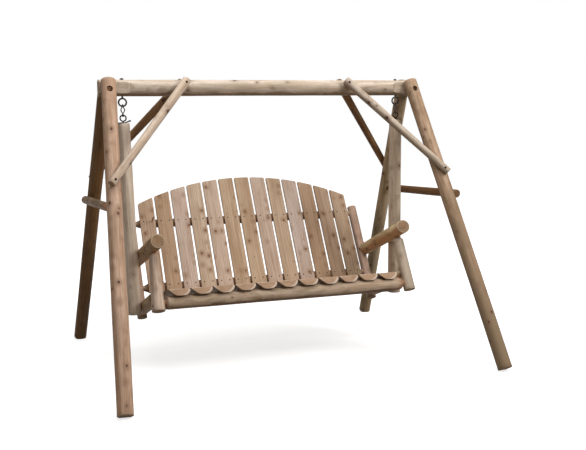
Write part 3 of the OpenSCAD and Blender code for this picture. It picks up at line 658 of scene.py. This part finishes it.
# A log on +Z from 0 to length; each cone is (cone length, tenon radius, tenon length) or None
def rawLog(name, length, radii, seed, cones, wander):
    foot = coneLength(cones[0])
    body = length - foot - coneLength(cones[1])
    radius = sum(radii) / 2 - logShape["lumps"] * 0.45
    piece = addPiece("cylinder", vertices=logShape["sides"], radius=radius, depth=body,
                     end_fill_type="NOTHING")
    piece.name = name
    editParts(piece, "edges", lambda e: edgeRun(piece.data, e, 2) > body / 2)
    bpy.ops.mesh.subdivide(number_cuts=max(3, int(body / logShape["ring"])))
    leaveEdit()
    factor = (radii[1] - radii[0]) / radius
    modify(piece, "SIMPLE_DEFORM", deform_method="TAPER", deform_axis="Z", factor=factor)
    # Lumps are drawn out along the log, so it is squeezed while they are pressed in
    shift = (seed * 0.71, seed * 0.43, 0)
    piece.scale = (1, 1, 1 / logShape["squeeze"])
    applyAll(piece)
    roughen(piece, lumpTexture, logShape["lumps"], shift)
    piece.scale = (1, 1, logShape["squeeze"])
    applyAll(piece)
    roughen(piece, wanderTexture, wander, shift, "RGB_TO_XYZ")
    placeMesh(piece, moved(0, 0, foot + body / 2))
    closeEnd(piece, -1, foot, radii[0], cones[0])
    closeEnd(piece, 1, foot + body, radii[1], cones[1])
    return piece


# Pushes the picked end face outwards and resizes it about a line along the piece
def pushEnd(move, factor, y=0.0):
    bpy.ops.mesh.extrude_region_move(TRANSFORM_OT_translate={"value": (0, 0, move)})
    bpy.ops.transform.resize(value=(factor, factor, 1), center_override=(0, y, 0))


# Caps an open end of a log, with a rounded rim or a whittled cone and tenon
def closeEnd(piece, side, z, radius, cone):
    mesh = piece.data
    counts = {}
    for face in mesh.polygons:
        for key in face.edge_keys:
            counts[key] = counts.get(key, 0) + 1
    editParts(piece, "edges", lambda e: counts[tuple(sorted(e.vertices))] == 1
              and abs(mesh.vertices[e.vertices[0]].co.z - z) < logShape["endZone"])
    bpy.ops.mesh.edge_face_add()
    bpy.ops.mesh.select_mode(type="FACE")
    if cone:
        share = cone[1] / radius
        sharp = ((0.12, 0.97), (0.55, 0.485 + 0.456 * share))
        done, now = 0.0, 1.0
        for part, reach in (*(logShape["blunt"] if len(cone) > 3 else sharp), (1.0, share)):
            pushEnd(side * cone[0] * (part - done), reach / now)
            done, now = part, reach
        bpy.ops.mesh.extrude_region_move(TRANSFORM_OT_translate={"value": (0, 0, side * cone[2])})
    else:
        rim = logShape["rim"]
        bpy.ops.transform.translate(value=(0, 0, -side * rim * 0.55))
        pushEnd(side * rim * 0.38, 1 - rim * 0.25 / radius)
        pushEnd(side * rim * 0.17, 1 - rim * 0.5 / radius)
    for inset in logShape["insets"]:
        bpy.ops.mesh.inset(thickness=radius * inset)
    leaveEdit()


# Hides the node that a piece stands for, and attaches the piece to the body that it rides on
def standFor(piece, slot, node, body):
    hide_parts(node)
    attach(piece, body)


# Moves a piece to its place, cuts it, writes its grain and other measures, and picks each face's wood
def settle(piece, matrix, cuts, seed, measures, names, pickWood, slot, node, body="bench", pith=0.0):
    placeMesh(piece, matrix)
    cutWith(piece, cuts)
    mesh = piece.data
    inverse = matrix.inverted()
    turn = inverse.to_3x3()
    places = [inverse @ vertex.co for vertex in mesh.vertices]
    grain = [value for p in places for value in (p.x, p.y - pith, p.z + grainStep * seed)]
    mesh.attributes.new("grain", "FLOAT_VECTOR", "POINT")
    mesh.attributes["grain"].data.foreach_set("vector", grain)
    for name, measure in measures.items():
        mesh.attributes.new(name, "FLOAT", "POINT")
        mesh.attributes[name].data.foreach_set("value", [measure(p) for p in places])
    edit(piece, "polygons")
    bpy.ops.mesh.select_all(action="SELECT")
    bpy.ops.mesh.normals_make_consistent(inside=False)
    leaveEdit()
    for name in names:
        mesh.materials.append(woods[name])
    for face in mesh.polygons:
        face.material_index = pickWood(inverse @ face.center, turn @ face.normal)
    makeActive(piece)
    bpy.ops.object.shade_smooth_by_angle(angle=woodSmooth)
    standFor(piece, slot, node, body)


# An end's faces lie this square to the grain, and this near to 0 or length
endFace = {"log": (0.85, 0.03), "slab": (0.8, 0.02)}
cutFace = {"outward": 0.9, "reach": 0.97}


def atEnd(kind, centre, normal, length):
    square, zone = endFace[kind]
    return abs(normal.z) > square and (centre.z < zone or centre.z > length - zone)


# A round log from a to b, which rides on body; radii are those of its two ends
def makeLog(node, body, a, b, radii, seed, wood, end="end", cuts=(), cones=(None, None),
            wander=logShape["wander"], slot="peeled_log", tipReach=0.0):
    radii = radii if isinstance(radii, tuple) else (radii, radii)
    length = (Vector(b) - Vector(a)).length
    matrix = layAlong(a, b)
    upright = matrix.to_3x3()
    foot, head = (coneLength(cone) for cone in cones)

    def radiusAt(z):
        return radii[0] + (radii[1] - radii[0]) * min(max(z / length, 0.0), 1.0)

    def whittledAt(p):
        low = (foot + tipReach - p.z) / (cones[0][0] + tipReach) if cones[0] else 0.0
        high = (p.z - length + head) / cones[1][0] if cones[1] else 0.0
        return min(max(low, high, 0.0), 1.0)

    def pickWood(centre, normal):
        normal.normalize()
        outward = Vector((centre.x, centre.y, 0)).normalized()
        if atEnd("log", centre, normal, length):
            return 1
        inside = hypot(centre.x, centre.y) < radiusAt(centre.z) * cutFace["reach"]
        isCut = normal.dot(outward) < cutFace["outward"] and inside
        return 2 if isCut and foot < centre.z < length - head else 0

    # under tells how far each point faces down, where the wood lays its painted underside shade
    measures = {
        "girth": lambda p: min(hypot(p.x, p.y) / radiusAt(p.z), 1.0),
        "whittle": whittledAt,
        "under": lambda p: -(upright @ Vector((p.x, p.y, 0)).normalized()).z,
    }
    piece = rawLog(node + "_log", length, radii, seed, cones, wander)
    settle(piece, matrix, cuts, seed, measures, (wood, end, "planed"), pickWood, slot, node, body)


bothSides = ((-1, "left"), (1, "right"))
beamSizes = {
    "flats": {-1: (0.106, 0.120), 1: (0.094, 0.062)}, "scoopGap": 0.0003, "washer": 0.017,
    "washerFlat": 0.006,
}


def boltPlace(sx, sy):
    return moved(sx * legX, 0, beamH - legSizes["boltDrop"]) @ turned(-sy * pi / 2, "X")


def makeBeam():
    cuts = []
    for sx, side in bothSides:
        run, scoopR = beamSizes["flats"][sx]
        inner = sx * (legX - run)
        for sy in (-1, 1):
            near = sy * legSizes["lapY"]
            cuts.append(addBox((inner, near, beamH - 0.1), (sx * (legX + 0.2), sy * 0.2, beamH + 0.1)))
            scoop = moved(inner, near + sy * (scoopR + beamSizes["scoopGap"]), beamH)
            cuts.append(roundCutter(scoop, scoopR, -0.1, 0.1, 96))
        eyeLow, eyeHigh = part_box("link_" + side)
        eye = moved((eyeLow.x + eyeHigh.x) / 2, 0, beamH + beamR)
        cuts.append(roundCutter(eye, beamSizes["washer"], -beamSizes["washerFlat"], 0.05, 32))
    makeLog("top_beam", "frame", *beamEnds, beamR, 1, "beam", cuts=cuts)


# The corners of the frame; the rear pieces take end grain with painted shade, and the rear braces and rear
# left leg darker woods with painted shade
corners = ((-1, -1, "front_left"), (1, -1, "front_right"), (-1, 1, "rear_left"), (1, 1, "rear_right"))
sideLooks = {-1: {"end": "end", "slot": "peeled_log"}, 1: {"end": "shadedEnd", "slot": "shaded_log"}}
legWoods = ("legLeft", "legRight", "legRearLeft", "legRearRight")
braceWoods = ("braceLeft", "braceRight", "braceRear", "braceRear")


def legCutter(sx, sy):
    return scribeCutter(legPoint(sx, sy, 0.0), legPoint(sx, sy, beamH + 0.1), legSizes["radius"])


def makeLegs():
    size = legSizes
    seat = legY + size["boltSeat"]
    for k, (sx, sy, corner) in enumerate(corners):
        bolt = boltPlace(sx, sy)
        cuts = [
            addBox((-2, sy * size["lapY"], beamH - 0.4), (2, -sy * 0.4, beamH + 0.3)),
            addBox((-2, -2, -0.2), (2, 2, 0.0)),
            roundCutter(bolt, size["counterbore"], seat, seat + 0.2, 40),
            roundCutter(bolt, size["boltHole"], 0.0, seat + 0.01, 24),
        ]
        radii = (size["radius"] - size["footShy"][sy], size["radius"])
        makeLog("leg_" + corner, "frame", legPoint(sx, sy, size["footLift"]),
                legPoint(sx, sy, beamH + size["rise"]), radii, 4 + k, legWoods[k], cuts=cuts, **sideLooks[sy])


braceSizes = {
    "foot": 0.025, "footShy": 0.0004, "top": 0.0295, "topX": 0.566, "topRise": 0.034, "footZ": 1.257,
    "notch": 0.007, "past": 0.042, "head": 0.019, "screwRise": 0.032, "screwSink": 0.006,
    "screwHead": 0.0080,
}


def makeBraces():
    size = braceSizes
    for k, (sx, sy, corner) in enumerate(corners):
        off = sy * (legSizes["radius"] + size["foot"] - size["notch"]) / legCos
        top = Vector((sx * size["topX"], sy * (beamR + size["top"] - size["notch"]), beamH + size["topRise"]))
        foot = legPoint(sx, sy, size["footZ"]) + Vector((0, off, 0))
        way = (top - foot).normalized()
        topScrew = Vector((top.x, top.y + sy * (size["top"] - size["screwSink"]), beamH + size["screwRise"]))
        footScrew = foot + Vector((0, sy * (size["foot"] - size["screwSink"]), 0))
        cuts = [scribeCutter(*beamEnds, beamR), legCutter(sx, sy)]
        for screw in (topScrew, footScrew):
            cuts.append(screwRecess(moved(*screw) @ turned(-sy * pi / 2, "X"), size["screwHead"]))
        makeLog("brace_" + corner, "frame", foot - way * size["past"], top + way * size["head"],
                (size["foot"] - size["footShy"], size["top"]), 11 + k, braceWoods[k], cuts=cuts,
                **sideLooks[sy])


stretcherSizes = {
    "z": 1.082, "radius": 0.0285, "tenon": 0.020, "notch": 0.024, "past": 0.036, "inLeg": 0.026,
    "neck": 0.030, "cone": 0.018, "tipReach": 0.22, "screwSink": 0.004, "screwHead": 0.0078,
}


# A stretcher is tenoned into one leg, and lapped and screwed on the outside of the other
def makeStretchers():
    size = stretcherSizes
    radius = size["radius"]
    lap = (legSizes["radius"] + radius - size["notch"]) / cos(radians(legSizes["splay"]))
    cone = (size["cone"], size["tenon"], size["inLeg"] + legSizes["radius"] + size["neck"])
    # The right stretcher takes a wood with painted shade, and both take end grain with painted shade
    for (sx, side), wood in zip(bothSides, ("stretcher", "stretcherDark")):
        a = legPoint(sx, sx, size["z"])
        b = legPoint(sx, -sx, size["z"]) + Vector((sx * lap, 0, 0))
        way = (b - a).normalized()
        screw = moved(*(b + Vector((sx * (radius - size["screwSink"]), 0, 0)))) @ turned(sx * pi / 2, "Y")
        makeLog("stretcher_" + side, "frame", a - way * size["inLeg"], b + way * size["past"],
                radius, 17 + sx, wood, "shadedEnd",
                [legCutter(sx, -sx), screwRecess(screw, size["screwHead"])], (cone, None),
                tipReach=size["tipReach"])


makeBeam()
makeLegs()
print("beam and legs ready")
makeBraces()
makeStretchers()
print("braces and stretchers ready")

hangerSizes = {
    "radius": 0.045, "footZ": 0.353, "splay": 1.2, "saddle": 0.003, "sideRail": 0.042,
    "tops": {-1: 0.0405, 1: 0.0440}, "lagSeat": 0.005, "lagHead": 0.0108, "topGap": 0.001,
}
armSizes = {
    "height": 0.327, "radius": 0.046, "front": 0.140, "short": 0.012, "toe": 3.0, "out": 0.003,
    "screwSink": 0.006, "screwHead": 0.0078,
}
armMidY = (-benchPlace["y"] - armSizes["height"] * sin(tiltRad)) / cos(tiltRad)
armMidZ = benchZ - armMidY * sin(tiltRad) + armSizes["height"] * cos(tiltRad)
armTan = tan(radians(armSizes["toe"]))
hangerRefZ = benchZ + benchPlace["y"] * tan(tiltRad)
hangerRefX = sideX + hangerSizes["sideRail"] + hangerSizes["radius"] - hangerSizes["saddle"]
hangerTan = tan(radians(hangerSizes["splay"]))
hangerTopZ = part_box("hanger_left")[1].z


def hangerPoint(sx, z):
    return Vector((sx * (hangerRefX + (z - hangerRefZ) * hangerTan), 0, z))


def hangerCutter(sx):
    foot = hangerPoint(sx, hangerSizes["footZ"])
    return scribeCutter(foot, hangerPoint(sx, hangerTopZ), hangerSizes["radius"])


def makeHangers():
    size = hangerSizes
    for sx, side in bothSides:
        cuts = []
        for z in (hangerRefZ, armMidZ):
            seat = hangerPoint(sx, z) + Vector((sx * (size["radius"] - size["lagSeat"]), 0, 0))
            cuts.append(screwRecess(moved(*seat) @ turned(sx * pi / 2, "Y"), size["lagHead"], 0.0))
        makeLog("hanger_" + side, "bench", hangerPoint(sx, size["footZ"]),
                hangerPoint(sx, hangerTopZ - size["topGap"]), (size["radius"], size["tops"][sx]), 21 + sx,
                "hanger" + side.capitalize(), cuts=cuts)


def armX(y):
    return sideX + armSizes["out"] + (y - armMidY) * armTan


postIn = atan((sideX - armX(armSizes["height"] * postTan)) * cos(postRad) / armSizes["height"])


def onPost(sx):
    return inBench @ moved(sx * sideX, 0, 0) @ turned(-postRad, "X") @ turned(-sx * postIn, "Y")


def backPostEnds(sx):
    low = backPoint(sx * sideX, -backPostSizes["foot"] / cos(backRad))
    return low, backPoint(sx * sideX, backPostSizes["height"] / cos(backRad))


def makeArms():
    size = armSizes
    radius = size["radius"]
    front = size["height"] * postTan - size["front"]
    rear = sideDepth + size["height"] * backTan - size["short"]
    for sx, side in bothSides:
        screw = onPost(sx) @ moved(0, 0, (size["height"] + radius) / cos(postRad) - size["screwSink"])
        makeLog("arm_" + side, "bench", benchPoint(sx * armX(front), front, size["height"]),
                benchPoint(sx * armX(rear), rear, size["height"]), radius, 31 + sx,
                "arm" + side.capitalize(), "armEnd",
                [scribeCutter(*backPostEnds(sx), backPostSizes["radius"]), hangerCutter(sx),
                 screwRecess(screw, size["screwHead"])], slot="arm_log")


def makePosts():
    size = postSizes
    shoulder = (armSizes["height"] - armSizes["radius"] - size["seat"]) / cos(postRad)
    tenon = armSizes["radius"] + size["tenonPast"] - size["neck"]
    for sx, side in bothSides:
        foot = onPost(sx) @ Vector((0, 0, -size["foot"]))
        head = onPost(sx) @ Vector((0, 0, shoulder + size["neck"] + tenon))
        makeLog("arm_post_" + side, "bench", foot, head, size["radii"][sx], 34 + sx,
                "post" + side.capitalize(), cones=(None, (size["cone"], size["tenon"], tenon)),
                wander=size["wander"])
        makeLog("back_post_" + side, "bench", *backPostEnds(sx), backPostSizes["radius"], 37 + sx, "backPost")


sideRailSizes = {
    "radius": 0.042, "tenon": 0.019, "shoulder": 0.016, "gap": 0.003, "frontTenon": 0.028,
    "rearTenon": 0.024, "wander": 0.001,
}


def makeSideRails():
    size = sideRailSizes
    start = postSizes["hole"] + size["gap"] - size["frontTenon"]
    end = sideDepth - backPostSizes["radius"] - size["gap"] + size["rearTenon"]
    cones = [(size["shoulder"], size["tenon"], size[tenon]) for tenon in ("frontTenon", "rearTenon")]
    for sx, side in bothSides:
        x = sx * sideX
        makeLog("side_rail_" + side, "bench", benchPoint(x, start, 0), benchPoint(x, end, 0),
                size["radius"], 40 + sx, "sideRail", cuts=[hangerCutter(sx)], cones=cones,
                wander=size["wander"], slot="arm_log")


def makeFrontRail():
    size = frontRailSizes
    end = sideX - postSizes["hole"] - shoulderGap + size["tenonLong"]
    blunt = (size["coneThick"], *coneFrom(size)[1:], "blunt")
    makeLog("front_rail", "bench", benchPoint(-end, frontRailY, -size["drop"]),
            benchPoint(end, frontRailY, -size["drop"]), (size["radius"], size["thick"]), 44, "frontRail",
            cones=(coneFrom(size), blunt), wander=size["wander"])


backRailSizes = {
    "lower": (0.032, 0.154, 46), "upper": (0.030, 0.636, 47), "tenon": 0.019, "tenonLong": 0.030,
    "cone": 0.030, "flat": 0.028, "wander": 0.002,
}


def makeRearRails():
    size = rearRailSizes
    end = sideX - sideRailSizes["radius"] - shoulderGap + size["tenonLong"]
    cone = coneFrom(size)
    makeLog("rear_rail", "bench", benchPoint(-end, size["y"], rearRailZ),
            benchPoint(end, size["y"], rearRailZ), size["radius"], 45, "backRail",
            cones=(cone, cone), slot="shaded_log")
    size = backRailSizes
    end = sideX - backPostSizes["radius"] - shoulderGap + size["tenonLong"]
    cone = coneFrom(size)
    for key in ("lower", "upper"):
        radius, s, seed = size[key]
        flat = addBox((-end, -size["flat"] - 0.1, s - 0.1), (end, -size["flat"], s + 0.1), onBack)
        makeLog(key + "_back_rail", "bench", backPoint(-end, s), backPoint(end, s), radius, seed,
                "backRail", cuts=[flat], cones=(cone, cone), wander=size["wander"], slot="shaded_log")


makeHangers()
makeArms()
makePosts()
makeSideRails()
makeFrontRail()
makeRearRails()
print("bench logs ready")

slabFinish = {
    "sideAngle": 41.0, "sideIn": 0.0035, "tip": 0.003, "heel": 0.050, "belly": 0.040, "corner": 0.015,
    "ease": 0.0025, "lumps": 0.0012, "rings": (0.90, 0.75), "ringsFrom": 0.036, "pithAbove": 0.020,
    "top": 0.004, "cutSides": 72, "screwHead": 0.0052, "uneven": 0.001,
}


# Rounds a long edge with flat cuts between two directions, in degrees
def roundEdge(piece, centre, radius, start, end, cuts):
    for k in range(1, cuts):
        turn = radians(start + (end - start) * k / cuts)
        way = (cos(turn), sin(turn), 0)
        slicePiece(piece, (centre[0] + radius * way[0], centre[1] + radius * way[1], 0), way)


# Saddles of the slab at x over the two rails, and the recesses of its screws
def slabCuts(x):
    size = frontRailSizes
    front = size["radius"] + (size["thick"] - size["radius"]) * (x + sideX) / (2 * sideX)
    saddles, recesses = [], []
    rails = ((frontRailY, -size["drop"], front), (rearRailSizes["y"], rearRailZ, rearRailSizes["radius"]))
    for y, z, radius in rails:
        saddles.append(scribeCutter(benchPoint(-1, y, z), benchPoint(1, y, z), radius, slabFinish["cutSides"]))
        top = slabUnder(y) + slabSizes["thick"] / cos(slabRise)
        screw = inBench @ moved(x, y, top) @ turned(slabRise, "X")
        recesses.append(screwRecess(screw, slabFinish["screwHead"]))
    return saddles + recesses


# Half-round seat slabs, flat side up; each frame has +Z to the rear, +Y up and +X to the left
def makeSlabs():
    size = slabSizes
    look = slabFinish
    thick = size["thick"]
    half = size["width"] / 2
    length = (slabTailY - slabStartY) / cos(slabRise)
    pith = thick + look["pithAbove"]

    def pickWood(centre, normal):
        if atEnd("slab", centre, normal, length):
            return 2
        return 0 if centre.y > thick - look["top"] else 1

    for k in range(size["count"]):
        x = (k - (size["count"] - 1) / 2) * size["pitch"] + size["shift"]
        place = (inBench @ moved(x, slabStartY, slabUnder(slabStartY)) @ turned(slabRise, "X")
                 @ turned(-pi / 2, "X") @ turned(pi, "Z"))
        vary = sin(k * 2.3 + 0.6)
        foot = size["flat"] + look["uneven"] * vary
        piece = addBox((-half, foot, 0), (half, thick, length))
        piece.name = "seat_slab_%02d" % (k + 1)
        slope = radians(look["sideAngle"] + 3 * vary)
        tipX, tipY = half - look["sideIn"], thick - look["tip"]
        slicePiece(piece, (tipX, tipY, 0), (sin(slope), -cos(slope), 0))
        belly, heel, corner = look["belly"], look["heel"], look["corner"] * (1 + 0.2 * vary)
        heelX = tipX + (cos(slope) * (foot + heel - tipY) - heel) / sin(slope)
        roundEdge(piece, (heelX, foot + heel), heel, -90, -90 + look["sideAngle"], 4)
        roundEdge(piece, (belly - half, foot + belly), belly, -90, -180, 7)
        roundEdge(piece, (corner - half, thick - corner), corner, 90, 180, 6)
        sliceEvenly(piece, length, size["slices"])
        roughen(piece, lumpTexture, look["lumps"], (k * 0.37, 0, k * 0.21))
        easeEdges(piece, look["ease"])
        for side in (-1, 1):
            editParts(piece, "polygons", lambda f: f.normal.z * side > 0.9 and f.area > 0.001)
            for factor in look["rings"]:
                pushEnd(0, factor, look["ringsFrom"])
            leaveEdit()
        settle(piece, place, slabCuts(x), 60 + k, {"girth": lambda p: hypot(p.x, p.y - pith) / pith},
               ("slab", "slabSide", "slabEnd"), pickWood, "seat_slab", "seat_slabs", pith=pith)


slatSizes = {
    "count": 13, "width": 0.108, "thick": 0.018, "pitch": 0.123, "top": 0.956, "archR": 1.809,
    "back": 0.028, "footGap": 0.005, "screwX": 0.030, "screwHead": 0.0052, "screwDeep": 0.0036,
    "corner": 0.008, "ease": 0.0022, "lumps": 0.0008, "slices": 12, "spare": 0.02, "square": 0.75,
    "rails": (0.154, 0.636),
    "woods": "Brown Brown Pink Tan Pink Tan Tan Pink Tan Pink Brown Brown Tan",
}


# Flat back slats with an arched top; each frame has +Z up the back and -Y to the front
def makeSlats():
    size = slatSizes
    half, thick = size["width"] / 2, size["thick"]
    topTail = slabUnder(slabTailY) + slabSizes["thick"] / cos(slabRise)
    footS = (topTail + size["footGap"]) / cos(backRad) + (size["back"] + thick) * backTan
    for k, wood in enumerate(size["woods"].split()):
        x = (k - (size["count"] - 1) / 2) * size["pitch"]
        place = onBack @ moved(x, -size["back"], footS)
        arch = asin(x / size["archR"])
        rise = size["top"] - size["archR"] * (1 - cos(arch)) - footS
        piece = addBox((-half, -thick, 0), (half, 0, rise + size["spare"]))
        mesh = piece.data
        piece.name = "back_slat_%02d_board" % (k + 1)
        slicePiece(piece, (0, 0, rise), (tan(arch), 0, 1))
        editParts(piece, "edges", lambda e: all(mesh.vertices[i].co.z > rise - 0.03 for i in e.vertices)
                  and edgeRun(mesh, e, 1) > 0.01)
        bpy.ops.mesh.bevel(offset=size["corner"], segments=4, affect="EDGES")
        leaveEdit()
        sliceEvenly(piece, rise, size["slices"])
        easeEdges(piece, size["ease"])
        roughen(piece, lumpTexture, size["lumps"], (k * 0.53, 0, 0), "Y")
        cuts = []
        for s in size["rails"]:
            for side in (-1, 1):
                screw = onBack @ moved(x + side * size["screwX"], -size["back"] - thick, s)
                cuts.append(screwRecess(screw @ turned(pi / 2, "X"), size["screwHead"], size["screwDeep"]))
        settle(piece, place, cuts, 80 + k, {"girth": lambda p: hypot(p.x, p.y)}, ("slat" + wood, "end"),
               lambda centre, normal: int(abs(normal.z) > size["square"]), "back_slat",
               "back_slat_%02d" % (k + 1))


makeSlabs()
makeSlats()
print("seat and back ready")

plateTab = {"rise": 0.0075, "swell": 0.0028, "weld": 0.00002}
linkSizes = {"wire": 0.0075, "width": 0.030, "turn": 25.0, "reach": 0.022, "slices": 12, "hair": 0.00001}


def coat(piece, material):
    piece.data.materials.clear()
    piece.data.materials.append(material)


# The two hanging links, each a stretched ring given half a turn between its ends
def makeLinks():
    size = linkSizes
    for node in ("link_left", "link_right"):
        low, high = (Vector(corner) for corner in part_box(node))
        tall = high.z - low.z
        piece = addPiece("torus", major_segments=48, minor_segments=20, rotation=(pi / 2, 0, 0),
                         major_radius=(size["width"] - size["wire"]) / 2, minor_radius=size["wire"] / 2)
        piece.name = "twisted_" + node
        for side in (-1, 1):
            editParts(piece, "vertices", lambda v: v.co.z * side > 0.0001)
            bpy.ops.transform.translate(value=(0, 0, side * (tall - size["width"]) / 2))
            leaveEdit()
        # The cuts lie a hair off the ring's own vertices
        for k in range(1 - size["slices"], size["slices"]):
            height = k / size["slices"] * size["reach"] + size["hair"]
            slicePiece(piece, (0, 0, height), (0, 0, 1), keepBoth=True)
        share = size["reach"] / tall
        modify(piece, "SIMPLE_DEFORM", deform_method="TWIST", deform_axis="Z", angle=pi,
               limits=(0.5 - share, 0.5 + share))
        placeMesh(piece, moved(*((low + high) / 2)) @ turned(radians(-size["turn"]), "Z"))
        bpy.ops.object.shade_smooth_by_angle(angle=linkSmooth)
        coat(piece, steels["dark_steel"])
        standFor(piece, "dark_steel", node, node)


# The hangers' cap plates, with their kicked-up tabs swollen where they were cut and bent
def makePlates():
    piece = addObject("hanger_cap_plates", frame["nodes"]["hanger_plates"].data.copy())
    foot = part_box("hanger_plates")[0][2]
    editParts(piece, "vertices", lambda v: True)
    bpy.ops.mesh.remove_doubles(threshold=plateTab["weld"])
    leaveEdit()
    editParts(piece, "vertices", lambda v: v.co.z > foot + plateTab["rise"])
    bpy.ops.transform.shrink_fatten(value=plateTab["swell"])
    leaveEdit()
    coat(piece, steels["black_steel"])
    standFor(piece, "black_steel", "hanger_plates", "bench")


# The other steel pieces are the frame's own nodes, with a better finish
slotOf = {row["node"]: row["material_slot"] for row in frame["record"]["subparts"]}
for name, piece in frame["nodes"].items():
    if slotOf[name] in steels:
        coat(piece, rustedBolts if name in rustAndLightNodes else steels[slotOf[name]])
makeLinks()
makePlates()
print("steel finished")

stageLook = {
    "size": 60.0, "floor": (0.60, 0.60, 0.60), "bounce": (0.15, 0.12, 0.09), "roughness": 0.9,
    "shadowReach": 1.8, "whiteReach": 3.6, "nearGlow": 0.72,
}
lampLook = {
    "key": {"place": (4.0, -4.3, 5.0), "aim": 0.8, "size": 2.8, "power": 325.0, "colour": (1.0, 0.98, 0.96)},
    "top": {"place": (-0.4, -0.8, 5.6), "aim": 0.9, "size": 4.5, "power": 200.0, "colour": (1.0, 1.0, 1.0)},
    "fill": {"place": (-4.6, -4.2, 2.6), "aim": 0.9, "size": 3.6, "power": 18.0, "colour": (1.0, 0.98, 0.94)},
}
worldLook = {"colour": (1.0, 0.98, 0.95), "strength": 0.28}
cameraLook = {"place": (-1.868, -5.674, 1.475), "yaw": 19.78, "pitch": 5.64, "roll": -1.20, "lens": 54.07}
white = (1.0, 1.0, 1.0, 1.0)


# Pale floor that the camera sees as white, fading out of its shadow zone with distance
def makeFloor():
    look = stageLook
    floor = addPiece("plane", size=look["size"])
    floor.name = "floor"
    material, shader = startMaterial("floor")
    path = addNode("LightPath").outputs
    seen = maths("MAXIMUM", path["Is Camera Ray"], path["Is Glossy Ray"])
    seen = maths("MAXIMUM", seen, path["Is Transmission Ray"])
    place = addNode("TexCoord").outputs["Object"]
    reach = addNode("VectorMath", {0: place}, operation="LENGTH").outputs["Value"]
    far = ramp(reach, look["shadowReach"], look["whiteReach"])
    glow = times(ramp(far, 0.0, 1.0, look["nearGlow"], 1.0), seen)
    feed(shader, {"Base Color": blend(seen, rgba(look["bounce"]), rgba(look["floor"])),
                  "Emission Strength": glow, "Emission Color": white, "Roughness": look["roughness"],
                  "Specular IOR Level": 0.0})
    floor.data.materials.append(material)


def makeLamps():
    for name, look in lampLook.items():
        lamp = bpy.data.lights.new(name, "AREA")
        lamp.shape = "DISK"
        lamp.size = look["size"]
        lamp.energy = look["power"]
        lamp.color = look["colour"]
        holder = addObject(name, lamp)
        holder.location = look["place"]
        way = Vector((0.0, 0.0, look["aim"])) - Vector(look["place"])
        holder.rotation_euler = way.to_track_quat("-Z", "Y").to_euler()


def makeWorld():
    global nodeTree
    world = bpy.data.worlds.new("studio")
    bpy.context.scene.world = world
    world.use_nodes = True
    nodeTree = world.node_tree
    nodeTree.nodes.clear()
    path = addNode("LightPath").outputs
    seen = maths("MAXIMUM", path["Is Camera Ray"], path["Is Transmission Ray"])
    soft = addNode("Background", {"Color": rgba(worldLook["colour"]), "Strength": worldLook["strength"]})
    plain = addNode("Background", {"Color": white, "Strength": 1.0})
    mix = addNode("MixShader", {0: seen, 1: soft.outputs[0], 2: plain.outputs[0]})
    addNode("OutputWorld", {"Surface": mix.outputs[0]})


def makeCamera():
    look = cameraLook
    camera = bpy.data.cameras.new("camera")
    camera.lens = look["lens"]
    camera.sensor_width = 36.0
    camera.clip_end = 200.0
    holder = addObject("camera", camera)
    turn = (turned(radians(-look["yaw"]), "Z") @ turned(radians(90.0 - look["pitch"]), "X")
            @ turned(radians(look["roll"]), "Z"))
    holder.matrix_world = moved(*look["place"]) @ turn
    bpy.context.scene.camera = holder


makeFloor()
makeLamps()
makeWorld()
makeCamera()
bpy.context.scene.view_settings.view_transform = "Standard"
print("stage ready")
